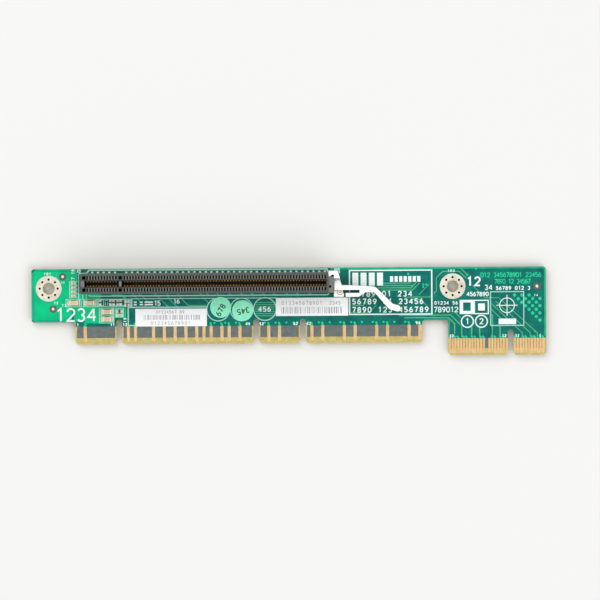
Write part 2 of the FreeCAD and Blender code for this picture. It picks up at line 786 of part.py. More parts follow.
def make_solder():
    """The solder cones on the back of the board, one under each contact's tail."""
    body = new_body("solder_joints", "peg_drop")
    for name, first, count, tail_row in CONTACT_RUNS:
        for side_name, side in (("upper", 1), ("lower", -1)):
            middle = f"(-slot_down + {tail_row} * {side})"
            base = new_sketch(body, f"{name}_{side_name}_pad")
            left, right = f"({first} - solder_width / 2)", f"({first} + solder_width / 2)"
            low, high = f"({middle} - solder_width / 2)", f"({middle} + solder_width / 2)"
            draw_rectangle(base, left, low, right, high)
            tip = new_sketch(body, f"{name}_{side_name}_tip", rise="-solder_drop")
            point = tip.addGeometry(Part.Point(FreeCAD.Vector(value(first), value(middle), 0)), False)
            hold_point(tip, point, 1, first, middle)
            cone = body.newObject("PartDesign::AdditiveLoft", f"{name}_{side_name}_cone")
            cone.Profile = base
            cone.Sections = [(tip, ["Vertex1"])]
            cone.Ruled = True
            doc.recompute()
            repeat(body, cone, "slot_pitch * 2", count)
    return body


# ---- latch ---------------------------------------------------------------------------------------


def from_pivot(right, up):
    """A place given as offsets from the latch's pivot."""
    return f"({PIVOT_X} + {right})", f"({PIVOT_Y} + {up})"


def make_latch_base():
    """The fixed clip: a plate on the board, a claw round the slot's end, a stop and the pivot's post."""
    body = new_body("latch_base")
    low = f"({PIVOT_Y} - base_low)"
    top_corner = from_pivot("(-base_top_back)", "base_top_up")
    waist = from_pivot("base_waist", "base_waist_up")
    foot_corner = from_pivot("foot_reach", "(-foot_top_low)")

    plate = new_sketch(body, "plate_outline")
    draw_outline(
        plate,
        [
            (LATCH_LEFT, low),
            (foot_corner[0], low),
            foot_corner,
            (waist[0], foot_corner[1]),
            waist,
            top_corner,
            (LATCH_LEFT, top_corner[1]),
        ],
    )
    pad(body, plate, "base_plate_thick", "plate")

    claw = new_sketch(body, "claw_outline")
    claw_left = f"({SLOT_RIGHT} + latch_gap)"
    claw_tip_y = "(-end_block_top_down + latch_gap)"
    claw_under = f"({PIVOT_Y} + claw_under_up)"
    throat = from_pivot("(-claw_throat_back)", "claw_throat_up")
    slope = "((base_waist + base_top_back) / (base_top_up - base_waist_up))"
    under_right = f"({PIVOT_X} - base_top_back + (base_top_up - claw_under_up) * {slope})"
    draw_outline(
        claw,
        [
            (claw_left, top_corner[1]),
            (claw_left, claw_tip_y),
            (f"({claw_left} + claw_tip_width)", claw_tip_y),
            throat,
            (LATCH_LEFT, throat[1]),
            (LATCH_LEFT, claw_under),
            (under_right, claw_under),
            top_corner,
        ],
    )
    pad(body, claw, "latch_rise", "claw")

    stop = new_sketch(body, "stop_outline")
    wall_corner = from_pivot("(-stop_wall_back)", "stop_wall_up")
    draw_outline(
        stop,
        [
            (LATCH_LEFT, low),
            (foot_corner[0], low),
            foot_corner,
            (wall_corner[0], foot_corner[1]),
            wall_corner,
            (LATCH_LEFT, wall_corner[1]),
        ],
    )
    pad(body, stop, "stop_rise", "stop")

    hub_room = new_sketch(body, "hub_room", rise="stop_rise")
    draw_circle(hub_room, PIVOT_X, PIVOT_Y, "(hub_r + hub_clearance)")
    pocket(body, hub_room, "(stop_rise - base_plate_thick)", name="hub_recess")
    post = new_sketch(body, "post_circle")
    draw_circle(post, PIVOT_X, PIVOT_Y, "pivot_post_r")
    pad(body, post, f"({LEVER_TOP} - hub_drop)", "pivot_post")
    return body


def make_latch_lever():
    """The moving lever: hub and bore, catch, arm, curved finger grip and the spring leg that turns back."""
    body = new_body("latch_lever")
    arm_end = from_pivot("(-arm_back)", "arm_top_up")
    outer_bend = from_pivot("outer_bend", "outer_bend_up")
    hollow = from_pivot("grip_hollow", "(-grip_hollow_low)")
    tip = from_pivot("grip_tip", "(-grip_tip_low)")
    tip_under = from_pivot("grip_end", "(-grip_end_low)")
    belly = from_pivot("grip_belly", "(-grip_belly_low)")
    inner_bend = from_pivot("inner_bend", "(-inner_bend_low)")
    knee = from_pivot("leg_knee", "(-leg_knee_low)")
    heel = from_pivot("leg_heel", "(-leg_under_low)")
    leg_under = from_pivot("leg_end", "(-leg_under_low)")
    leg_top = from_pivot("leg_end", "(-leg_top_low)")
    window_low = from_pivot("window_end", "(-leg_top_low)")
    window_high = from_pivot("window_end", "arm_under_up")
    arm_under = from_pivot("(-arm_back)", "arm_under_up")

    outline = new_sketch(body, "lever_outline", rise=LEVER_UNDER)
    draw_outline(
        outline,
        [
            arm_end,
            arm_under,
            window_high,
            window_low,
            leg_top,
            leg_under,
            heel,
            knee,
            inner_bend,
            belly,
            tip_under,
            tip,
            hollow,
            outer_bend,
            from_pivot("arm_bend", "arm_top_up"),
        ],
    )
    lever = pad(body, outline, f"({LEVER_TOP} - {LEVER_UNDER})", "lever")
    lever = round_corners(body, lever, [outer_bend], "outer_bend_round")
    lever = round_corners(body, lever, [hollow], "grip_hollow_round")
    lever = round_corners(body, lever, [belly], "grip_belly_round")
    lever = round_corners(body, lever, [inner_bend], "inner_bend_round")
    lever = round_corners(body, lever, [knee, heel], "leg_round")
    round_corners(body, lever, [tip, tip_under], "grip_end_round")

    catch = new_sketch(body, "catch_outline", rise=f"({LEVER_TOP} - nib_drop)")
    draw_outline(
        catch,
        [
            arm_end,
            from_pivot("nib_root", "arm_top_up"),
            from_pivot("(-nib_tip_back)", "nib_up"),
            from_pivot("(-arm_back)", "nib_up"),
        ],
    )
    nib = pad(body, catch, "nib_thick", "catch")
    nib.Reversed = True
    doc.recompute()
    ramp = new_sketch(body, "ramp_profile", "YZ_Plane", arm_end[0])
    nib_tip = f"({PIVOT_Y} + nib_up)"
    nib_top = f"({LEVER_TOP} - nib_drop)"
    draw_outline(
        ramp,
        [
            (f"({nib_tip} - nib_ramp)", nib_top),
            (nib_tip, nib_top),
            (nib_tip, f"({nib_top} - nib_ramp)"),
        ],
    )
    pocket(body, ramp, "(arm_back + nib_root)", upwards=True, name="catch_ramp")

    hub = new_sketch(body, "hub_circle", rise=LEVER_UNDER)
    draw_circle(hub, PIVOT_X, PIVOT_Y, "hub_r")
    pad(body, hub, f"({LEVER_TOP} - hub_drop - {LEVER_UNDER})", "hub")
    bore = new_sketch(body, "bore_circle", rise=LEVER_TOP)
    draw_circle(bore, PIVOT_X, PIVOT_Y, "(pivot_post_r + pivot_clearance)")
    pocket(body, bore, f"({LEVER_TOP} - {LEVER_UNDER})", name="bore")
    return body


# ---- chip parts ----------------------------------------------------------------------------------

CAPACITORS = [
    ("capacitor_1_x", "capacitor_row_down"),
    ("capacitor_2_x", "capacitor_row_down"),
    ("capacitor_pair_x", "capacitor_3_down"),
    ("capacitor_pair_x", "capacitor_4_down"),
]


def stacked(group_name, count):
    """The places of chips that lie one below the other."""
    return [(f"{group_name}_x", f"({group_name}_down + {i} * {group_name}_pitch)") for i in range(count)]


# Kind, place and whether the chip stands across the board's length.
SMALL_CHIPS = [("small", x, down, False) for x, down in stacked("chip_column", 4)]
SMALL_CHIPS += [("small", f"upright_{number}_x", "upright_row_down", True) for number in range(1, 6)]
SMALL_CHIPS += [("small", x, down, False) for x, down in stacked("lying_pair", 2)]
SMALL_CHIPS += [("medium", x, down, False) for x, down in stacked("medium_pair", 2)]


def add_block(name, x, y, length, depth, rise):
    """A block standing on the board, centred on a place."""
    block = doc.addObject("Part::Box", name)
    bind(block, "Length", length)
    bind(block, "Width", depth)
    bind(block, "Height", rise)
    bind(block, "Placement.Base.x", f"({x} - {length} / 2)")
    bind(block, "Placement.Base.y", f"({y} - {depth} / 2)")
    return block


def chip_blocks(name, kind, x, down, across):
    """A chip's ceramic body and its two tinned ends, which stand a little proud of it."""
    body_length = f"({kind}_length - 2 * {kind}_end)"
    end_width = f"({kind}_width + 2 * chip_end_proud)"
    end_rise = f"({kind}_rise + chip_end_proud)"
    reach = f"(({kind}_length - {kind}_end) / 2)"
    y = f"(-{down})"
    if across:
        body = add_block(f"{name}_ceramic", x, y, f"{kind}_width", body_length, f"{kind}_rise")
        ends = [
            add_block(f"{name}_cap", x, f"({y} {sign} {reach})", end_width, f"{kind}_end", end_rise)
            for sign in ("-", "+")
        ]
    else:
        body = add_block(f"{name}_ceramic", x, y, body_length, f"{kind}_width", f"{kind}_rise")
        ends = [
            add_block(f"{name}_cap", f"({x} {sign} {reach})", y, f"{kind}_end", end_width, end_rise)
            for sign in ("-", "+")
        ]
    return body, ends


def group(label, blocks):
    """Several separate solids under one name."""
    compound = doc.addObject("Part::Compound", label)
    compound.Label = label
    compound.Links = blocks
    place_at_corner(compound, BOARD_TOP)
    return compound


def make_chips():
    """The four large capacitors, each with its ends, and the small chips in two groups."""
    parts = []
    for number, (x, down) in enumerate(CAPACITORS, start=1):
        body, ends = chip_blocks(f"capacitor_{number}", "chip", x, down, False)
        parts.append(group(f"capacitor_{number}_body", [body]))
        parts.append(group(f"capacitor_{number}_ends", ends))
    bodies, all_ends = [], []
    for kind, x, down, across in SMALL_CHIPS:
        body, ends = chip_blocks("small_chip", kind, x, down, across)
        bodies.append(body)
        all_ends += ends
    parts.append(group("small_chip_bodies", bodies))
    parts.append(group("small_chip_ends", all_ends))
    return parts


# ---- labels --------------------------------------------------------------------------------------


def make_labels():
    """Two rectangular labels and two round stickers."""
    parts = []
    for side in ("left", "right"):
        label = doc.addObject("Part::Box", f"{side}_label_sheet")
        bind(label, "Length", f"{side}_label_length")
        bind(label, "Width", f"{side}_label_depth")
        bind(label, "Height", "label_thick")
        bind(label, "Placement.Base.x", f"{side}_label_x")
        bind(label, "Placement.Base.y", f"(-{side}_label_down - {side}_label_depth)")
        parts.append(group(f"label_{side}", [label]))
    for side in ("left", "right"):
        sticker = doc.addObject("Part::Cylinder", f"{side}_sticker_disc")
        bind(sticker, "Radius", "sticker_r")
        bind(sticker, "Height", "label_thick")
        bind(sticker, "Placement.Base.x", f"{side}_sticker_x")
        bind(sticker, "Placement.Base.y", f"(-{side}_sticker_down)")
        parts.append(group(f"sticker_{side}", [sticker]))
    return parts


# ---- the card ------------------------------------------------------------------------------------


def make_card():
    """All the pieces of the card."""
    parts = [make_board()]
    parts += make_all_fingers()
    parts.append(make_ring("mount_ring_left", "mount_x"))
    parts.append(make_ring("mount_ring_right", "(mount_x + mount_spacing)"))
    parts.append(make_fiducials())
    parts.append(make_housing())
    parts.append(make_hold_down())
    parts.append(make_contacts("slot_contacts_upper", 1))
    parts.append(make_contacts("slot_contacts_lower", -1))
    parts.append(make_solder())
    parts.append(make_latch_base())
    parts.append(make_latch_lever())
    parts += make_chips()
    parts += make_labels()
    return parts


def write_parts(parts):
    """Checks every object and shape, then writes one file for each piece."""
    doc.recompute()
    for item in doc.Objects:
        if "Invalid" in item.State or "Error" in item.State:
            raise ValueError(f"{item.Name} failed: {item.State}")
    for part in parts:
        if part.Shape.isNull() or not part.Shape.isValid():
            raise ValueError(f"{part.Label} has no valid shape")
    os.makedirs("parts", exist_ok=True)
    for part in parts:
        part.Shape.exportStep(f"parts/{part.Label}.step")


write_parts(make_card())
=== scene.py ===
import itertools
import json
import math
import random

import bmesh
import bpy
from mathutils import Matrix, Vector
from mathutils.geometry import tessellate_polygon


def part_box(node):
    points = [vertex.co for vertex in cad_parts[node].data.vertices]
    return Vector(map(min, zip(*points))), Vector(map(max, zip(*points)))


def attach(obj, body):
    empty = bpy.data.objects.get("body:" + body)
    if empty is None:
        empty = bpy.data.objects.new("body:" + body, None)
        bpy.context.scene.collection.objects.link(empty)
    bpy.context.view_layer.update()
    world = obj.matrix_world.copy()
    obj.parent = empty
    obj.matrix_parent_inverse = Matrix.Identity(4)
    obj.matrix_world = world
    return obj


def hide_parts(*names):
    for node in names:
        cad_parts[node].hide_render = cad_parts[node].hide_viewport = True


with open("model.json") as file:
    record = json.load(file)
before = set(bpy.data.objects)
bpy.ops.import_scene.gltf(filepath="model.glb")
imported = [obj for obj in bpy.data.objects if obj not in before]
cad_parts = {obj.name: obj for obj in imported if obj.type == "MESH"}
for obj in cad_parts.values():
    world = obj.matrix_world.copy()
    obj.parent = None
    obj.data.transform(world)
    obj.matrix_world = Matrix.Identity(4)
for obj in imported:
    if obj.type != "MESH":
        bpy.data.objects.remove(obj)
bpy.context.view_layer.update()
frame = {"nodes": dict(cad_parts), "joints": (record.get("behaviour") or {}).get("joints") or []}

# The riser card's looks. Places on the card are millimetres right of and down from the board's top left
# corner, and heights are millimetres above the board's bare upper face.

MM = 0.001
BOARD_LOW, BOARD_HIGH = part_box("circuit_board")
BOARD_LENGTH = (BOARD_HIGH.x - BOARD_LOW.x) / MM
BOARD_THICK = (BOARD_HIGH.z - BOARD_LOW.z) / MM

# Heights of the printed layers: a buried foot, then the tops from the lowest layer to the highest.
BURIED = -0.01
THIN_TOP = 0.006
MASK_TOP = 0.03
COPPER_TOP = 0.05
RING_TOP = 0.06
INK_TOP = 0.062
PAD_TOP = 0.075

# Copper under the mask starts inside the mask, and the pours along the edges are a little lower.
COPPER_FOOT = MASK_TOP - 0.01
EDGE_POUR_TOP = COPPER_TOP - 0.005

# The board's outline, which the layers follow.
MASK_INSET = 0.07
LEFT_ROUND = 0.9
RIGHT_ROUND = 1.2
SHOULDER = 18.88
SHOULDER_ROUND = 0.9
WIDE_TAB = (15.445, 137.795)
WIDE_KEYS = (30.9, 79.16, 95.67)
WIDE_KEY_HALF = 0.925
WIDE_KEY_TOP = 18.1
WIDE_MASK_END = 20.4
NARROW_LEFT = 146.95
NARROW_KEY = 168.97
NARROW_KEY_HALF = 0.95
NARROW_KEY_TOP = 22.35
NARROW_MASK_END = 25.2

# Mounting holes and fiducials.
MOUNT_HOLES = ((6.1, 6.85), (148.55, 6.85))
FIDUCIALS = ((11.05, 2.7), (7.6, 14.1), (178.3, 7.0))
FIDUCIAL_OPENING = 1.35


def at(x, down, rise=0.0):
    """A place on the card, in the row frame."""
    return Vector((BOARD_LOW.x + x * MM, BOARD_HIGH.y - down * MM, BOARD_HIGH.z + rise * MM))


def under(rise):
    """A height measured down from the board's lower face, as a height on the card."""
    return -BOARD_THICK - rise


def card_place(point):
    """The way back: a row-frame point as millimetres right, down and up on the card."""
    return (point.x - BOARD_LOW.x) / MM, (BOARD_HIGH.y - point.y) / MM, (point.z - BOARD_HIGH.z) / MM


def middle(low, high):
    """The place half way between two corners."""
    return [(a + b) / 2 for a, b in zip(low, high)]


# ---- materials


def linear(colour):
    """sRGB bytes as linear light."""
    out = []
    for byte in colour:
        share = byte / 255
        out.append(share / 12.92 if share <= 0.04045 else ((share + 0.055) / 1.055) ** 2.4)
    return tuple(out)


def shade(colour, share):
    """A colour made darker or lighter by a share."""
    return tuple(max(0, min(255, round(byte * share))) for byte in colour)


def principled(name, colour, roughness, **sockets):
    """A material with its Principled shader, colour given as sRGB bytes."""
    material = bpy.data.materials.new(name)
    material.use_nodes = True
    shader = material.node_tree.nodes["Principled BSDF"]
    shader.inputs["Base Color"].default_value = (*linear(colour), 1.0)
    shader.inputs["Roughness"].default_value = roughness
    for socket, number in sockets.items():
        shader.inputs[socket.replace("_", " ")].default_value = number
    return material, shader


def node(material, kind, **values):
    """A new shader node with its properties and sockets set."""
    made = material.node_tree.nodes.new(kind)
    for key, number in values.items():
        if key in made.inputs:
            made.inputs[key].default_value = number
        else:
            setattr(made, key, number)
    return made


def link(material, source, target):
    """Joins an output to an input."""
    material.node_tree.links.new(source, target)


def coordinates(material, scale=(1, 1, 1)):
    """Object coordinates, stretched by axis."""
    place = node(material, "ShaderNodeTexCoord")
    mapping = node(material, "ShaderNodeMapping", Scale=scale)
    link(material, place.outputs["Object"], mapping.inputs["Vector"])
    return mapping.outputs["Vector"]


def noise(material, vector, scale, detail=3.0):
    """A noise value over the surface; the scale is in bumps per metre."""
    made = node(material, "ShaderNodeTexNoise", Scale=scale, Detail=detail, Roughness=0.55)
    link(material, vector, made.inputs["Vector"])
    return made.outputs["Fac"]


def ramp(material, factor, stops):
    """A colour ramp from (place, sRGB colour) stops."""
    made = node(material, "ShaderNodeValToRGB")
    elements = made.color_ramp.elements
    while len(elements) < len(stops):
        elements.new(0.5)
    for element, (place, colour) in zip(elements, stops):
        element.position = place
        element.color = (*linear(colour), 1.0)
    link(material, factor, made.inputs["Fac"])
    return made.outputs["Color"]


def spread(material, factor, low, high):
    """A factor from 0 to 1 spread over a range."""
    made = node(material, "ShaderNodeMapRange")
    made.inputs["To Min"].default_value = low
    made.inputs["To Max"].default_value = high
    link(material, factor, made.inputs["Value"])
    return made.outputs["Result"]


def bump(material, shader, height, depth):
    """A bump from a height value; the depth is in millimetres."""
    made = node(material, "ShaderNodeBump", Strength=1.0, Distance=depth * MM)
    link(material, height, made.inputs["Height"])
    link(material, made.outputs["Normal"], shader.inputs["Normal"])


GRAIN_FINENESS = 6  # how many times finer a mottled material's grain is than its blotches


def mottled(name, colour, roughness, scale, contrast, depth, **sockets):
    """A material whose colour, roughness and surface vary a little over the piece."""
    material, shader = principled(name, colour, roughness, **sockets)
    vector = coordinates(material)
    blotch = noise(material, vector, scale)
    stops = [(0.3, shade(colour, 1 - contrast)), (0.7, shade(colour, 1 + contrast))]
    link(material, ramp(material, blotch, stops), shader.inputs["Base Color"])
    grain = noise(material, vector, scale * GRAIN_FINENESS, detail=4)
    rough = spread(material, grain, roughness * 0.8, min(1, roughness * 1.2))
    link(material, rough, shader.inputs["Roughness"])
    bump(material, shader, grain, depth)
    return material


def plated(name, colour, worn, roughness=0.3, stretch=(1, 1, 1)):
    """Plated metal with fine marks, packed closer along an axis by a stretch above 1."""
    material, shader = principled(name, colour, roughness, Metallic=1.0)
    streak = noise(material, coordinates(material, stretch), 420, detail=6)
    link(material, ramp(material, streak, [(0.3, worn), (0.65, colour)]), shader.inputs["Base Color"])
    link(material, spread(material, streak, roughness * 0.75, roughness * 1.5), shader.inputs["Roughness"])
    bump(material, shader, streak, 0.004)
    return material


def woven(material, scale):
    """The glass weave under a board's surface: two crossed rows of threads."""
    joined = node(material, "ShaderNodeMath", operation="MULTIPLY")
    for direction, socket in zip(("X", "Y"), joined.inputs):
        wave = node(material, "ShaderNodeTexWave", Scale=scale, Distortion=0.6, bands_direction=direction)
        wave.inputs["Detail Scale"].default_value = 2.0
        link(material, coordinates(material), wave.inputs["Vector"])
        link(material, wave.outputs["Fac"], socket)
    return joined.outputs[0]


def board_surface(name, colour, roughness, stops, blotches, threads, weave, depth, **sockets):
    """Blotches of colour with a share of the glass weave showing through; both scales are per metre."""
    material, shader = principled(name, colour, roughness, **sockets)
    mixed = node(material, "ShaderNodeMath", operation="MULTIPLY_ADD")
    link(material, woven(material, threads), mixed.inputs[0])
    mixed.inputs[1].default_value = weave
    link(material, noise(material, coordinates(material), blotches, detail=5), mixed.inputs[2])
    link(material, ramp(material, mixed.outputs[0], stops), shader.inputs["Base Color"])
    bump(material, shader, mixed.outputs[0], depth)
    return material


def mask_green(name, colour, deep):
    """Solder mask: a glossy green coat, mottled, over the board's weave."""
    stops = [(0.3, deep), (0.62, colour), (0.95, shade(colour, 1.1))]
    return board_surface(name, colour, 0.34, stops, 260, 900, 0.09, 0.006, Specular_IOR_Level=0.1)


def bare_laminate(name, colour, deep):
    """Bare glass and resin, with its weave showing."""
    return board_surface(name, colour, 0.5, [(0.25, deep), (0.8, colour)], 700, 1250, 0.15, 0.008)


MASK = mask_green("solder_mask", (16, 118, 106), (8, 95, 88))
MASK_ON_COPPER = mask_green("solder_mask_on_copper", (90, 184, 132), (66, 164, 120))
MASK_BRIGHT = mask_green("solder_mask_on_pour", (4, 196, 134), (2, 180, 120))
MASK_EDGE = mask_green("solder_mask_on_edge_pour", (24, 180, 140), (14, 162, 126))
MASK_MINT = mask_green("solder_mask_on_stubs", (50, 206, 152), (30, 186, 136))
LAMINATE = bare_laminate("bare_laminate", (212, 195, 118), (172, 154, 84))
INNER_PLANE = bare_laminate("inner_plane", (108, 118, 114), (84, 93, 91))
GAP = bare_laminate("laminate_between_fingers", (176, 140, 92), (140, 108, 68))
OPENING = bare_laminate("opening_laminate", (92, 97, 88), (70, 74, 68))
GOLD = plated("gold_plating", (238, 204, 150), (222, 178, 120), roughness=0.32, stretch=(6, 1, 1))
TIN = plated("tin_plating", (230, 226, 212), (208, 201, 186), roughness=0.42)
SOLDER = plated("solder", (244, 240, 230), (214, 210, 200), roughness=0.34)
STEEL = plated("hold_down_metal", (206, 182, 138), (168, 142, 100), roughness=0.34, stretch=(6, 1, 1))
# Painted shade: a tan metal for the head over the latch's pivot, where the white plastic lies in shade.
PIN_HEAD_SHADE = plated("pin_head_painted_shade", (222, 196, 150), (190, 160, 112), roughness=0.4)
# Roughness, blotches per metre, their contrast, and the depth of the bumps in millimetres.
CONTACT = mottled("contact_metal", (234, 176, 100), 0.38, 900, 0.2, 0.004, Metallic=0.45)
HOUSING = mottled("slot_plastic", (71, 76, 72), 0.46, 2400, 0.05, 0.008)
# Painted highlight: a paler copy of the slot's plastic on its end block, key and the ribs between its
# windows, where light catches them.
HIGHLIGHT_HOUSING = mottled("slot_plastic_painted_highlight", (108, 112, 109), 0.42, 1600, 0.1, 0.008)
# Painted shade: the slot's own plastic drawn near black where its mouth, chambers, ribs and floor lie deep in
# shade.
CHAMBER_SHADE = mottled("chamber_plastic_painted_shade", (42, 42, 39), 0.55, 900, 0.15, 0.01)
LATCH = mottled("latch_plastic", (250, 250, 246), 0.42, 500, 0.012, 0.006)
CERAMIC = mottled("capacitor_ceramic", (222, 194, 154), 0.5, 1800, 0.07, 0.004)
DARK_CERAMIC = mottled("resistor_body", (60, 56, 54), 0.5, 2200, 0.12, 0.004)
INK = mottled("white_ink", (236, 246, 244), 0.6, 2600, 0.03, 0.006)
PALE_INK = mottled("thin_white_ink", (168, 222, 206), 0.6, 2600, 0.06, 0.006)
PAPER = mottled("label_paper", (250, 252, 252), 0.55, 1500, 0.012, 0.004)
PRINT = mottled("label_print", (166, 167, 171), 0.6, 2500, 0.12, 0.002)
STICKER = mottled("sticker_vinyl", (142, 244, 200), 0.45, 600, 0.03, 0.004)
MARKER = mottled("marker_pen", (20, 84, 64), 0.4, 1500, 0.2, 0.002)
# Painted shade: near-black discs on the board that stand for the shade down in the vias' holes.
VIA_PAINTED_SHADE = mottled("via_painted_shade", (9, 10, 9), 0.7, 1500, 0.2, 0.004, Specular_IOR_Level=0.1)


# ---- shapes


def arc(x, y, radius, start, end, steps=12):
    """Points along an arc; angles in degrees, turning from right towards down."""
    angles = [math.radians(start + (end - start) * i / steps) for i in range(steps + 1)]
    return [(x + radius * math.cos(a), y + radius * math.sin(a)) for a in angles]


def circle(x, y, radius, steps=32):
    """A full circle's points."""
    return arc(x, y, radius, 0, 360, steps)[:-1]


def oblong(left, top, right, bottom, radius=0.0, steps=5):
    """A rectangle with square or round corners."""
    if radius <= 0:
        return [(left, top), (right, top), (right, bottom), (left, bottom)]
    return (
        arc(left + radius, top + radius, radius, 180, 270, steps)
        + arc(right - radius, top + radius, radius, 270, 360, steps)
        + arc(right - radius, bottom - radius, radius, 0, 90, steps)
        + arc(left + radius, bottom - radius, radius, 90, 180, steps)
    )


def slab(mesh, outline, low, high, holes=()):
    """A closed slab of an outline with holes, between two heights."""
    loops = [outline, *holes]
    flat = [[Vector((x, y, 0)) for x, y in loop] for loop in loops]
    tops = [mesh.verts.new(at(x, y, high)) for loop in loops for x, y in loop]
    bottoms = [mesh.verts.new(at(x, y, low)) for loop in loops for x, y in loop]
    for a, b, c in tessellate_polygon(flat):
        mesh.faces.new((tops[a], tops[b], tops[c]))
        mesh.faces.new((bottoms[c], bottoms[b], bottoms[a]))
    start = 0
    for loop in loops:
        count = len(loop)
        for i in range(count):
            here, after = start + i, start + (i + 1) % count
            mesh.faces.new((tops[here], tops[after], bottoms[after], bottoms[here]))
        start += count


def layer(mesh, outline, top, holes=(), foot=BURIED, back=False):
    """A flat layer on the upper face, or the same on the lower face."""
    low, high = (under(top), under(foot)) if back else (foot, top)
    slab(mesh, outline, low, high, holes)


def loft(mesh, rings, looped=False, tip=None):
    """Joins rings of places with four-sided faces. Unless they run in a loop the ends are closed, the last
    one towards a tip where one is given."""
    made = [[mesh.verts.new(at(*place)) for place in ring] for ring in rings]
    count = len(made[0])
    for here, after in zip(made, made[1:] + made[:1] if looped else made[1:]):
        for i in range(count):
            mesh.faces.new((here[i], here[(i + 1) % count], after[(i + 1) % count], after[i]))
    if looped:
        return
    mesh.faces.new(made[0])
    if tip is None:
        mesh.faces.new(made[-1])
        return
    point = mesh.verts.new(at(*tip))
    for i in range(count):
        mesh.faces.new((made[-1][i], made[-1][(i + 1) % count], point))


def crowned(mesh, shape, low, high, edge, drop, back=False):
    """A plate with sloping edges, on either face; shape gives its outline at an inset."""
    rings = []
    for inset, rise in ((0, low), (0, high - drop), (edge, high)):
        rings.append([(*place, under(rise) if back else rise) for place in shape(inset)])
    loft(mesh, rings)


# Each line is a hair thicker than the one before, over a few steps, so that crossing lines share no plane.
HAIR = 0.0008
HAIR_STEPS = 12
ribbon_count = itertools.count()


def sides_of(points, width, closed):
    """The left and right sides of a line of some width, mitred at its turns."""
    count = len(points)
    pairs = []
    for i, (x, y) in enumerate(points):
        before = points[i - 1] if i or closed else None
        after = points[(i + 1) % count] if i < count - 1 or closed else None
        ways = []
        for a, b in ((before, (x, y)), ((x, y), after)):
            if a is not None and b is not None:
                way = Vector((b[0] - a[0], b[1] - a[1])).normalized()
                ways.append(Vector((-way.y, way.x)))
        across = sum(ways, Vector((0, 0)))
        across = across.normalized() if across.length > 0.1 else ways[0]
        reach = width / 2 / max(0.5, across.dot(ways[0]))
        off_x, off_y = across.x * reach, across.y * reach
        pairs.append(((x + off_x, y + off_y), (x - off_x, y - off_y)))
    return pairs


def ribbon(mesh, points, width, low, high, closed=False):
    """A flat line of some width along points, as a closed strip."""
    if math.dist(points[0], points[-1]) < 0.001:
        points, closed = points[:-1], True
    extra = HAIR * (1 + next(ribbon_count) % HAIR_STEPS)
    if low < -BOARD_THICK:
        low -= extra
    else:
        high += extra
    sides = sides_of(points, width, closed)
    loft(mesh, [[(*a, low), (*a, high), (*b, high), (*b, low)] for a, b in sides], looped=closed)


def placed(name, data):
    """A new object in the scene."""
    made = bpy.data.objects.new(name, data)
    bpy.context.scene.collection.objects.link(made)
    return made


def finished(name, mesh, material, replaces=None, smooth_angle=None, body="card"):
    """Turns drawn faces into a piece that rides on a body, takes its finish from a slot and may stand for a
    CAD node."""
    bmesh.ops.recalc_face_normals(mesh, faces=mesh.faces)
    data = bpy.data.meshes.new(name)
    mesh.to_mesh(data)
    mesh.free()
    data.materials.append(material)
    piece = placed(name, data)
    if smooth_angle is not None:
        for face in data.polygons:
            face.use_smooth = True
        data.set_sharp_from_angle(angle=math.radians(smooth_angle))
    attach(piece, body)
    if replaces:
        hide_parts(replaces)
    return piece


def from_node(name):
    """A CAD node's mesh to work on, with its corners joined."""
    mesh = bmesh.new()
    mesh.from_mesh(frame["nodes"][name].data)
    bmesh.ops.remove_doubles(mesh, verts=mesh.verts, dist=1e-6)
    return mesh


def islands(name):
    """The lowest and highest corner of each separate solid of a CAD node, on the card."""
    mesh = from_node(name)
    found = []
    unseen = set(mesh.verts)
    while unseen:
        group = [unseen.pop()]
        for vert in group:
            for edge in vert.link_edges:
                other = edge.other_vert(vert)
                if other in unseen:
                    unseen.remove(other)
                    group.append(other)
        places = [card_place(vert.co) for vert in group]
        found.append((tuple(map(min, zip(*places))), tuple(map(max, zip(*places)))))
    mesh.free()
    return sorted(found)


def middles(name):
    """The middle of each separate solid of a CAD node, along the card."""
    return [middle(low, high)[0] for low, high in islands(name)]


SHARP = 35  # edges that turn by more degrees than this are rounded


def softened(name, node_name, material, width, body="card", segments=2):
    """A copy of a CAD node with its flat faces joined and its edges rounded, shown in its place."""
    mesh = from_node(node_name)
    bmesh.ops.dissolve_limit(mesh, angle_limit=math.radians(1), verts=mesh.verts, edges=mesh.edges)
    piece = finished(name, mesh, material, node_name, SHARP, body)
    bevel = piece.modifiers.new("edges", "BEVEL")
    bevel.width = width * MM
    bevel.segments = segments
    bevel.limit_method = "ANGLE"
    bevel.angle_limit = math.radians(SHARP)
    bevel.harden_normals = True
    return piece


# ---- board layers


def notch(x, half, top, end):
    """The mask's way round a key notch, from its right side to its left."""
    half += MASK_INSET
    top -= MASK_INSET
    return [(x + half, end), *arc(x, top + half, half, 0, -180, 10), (x - half, end)]


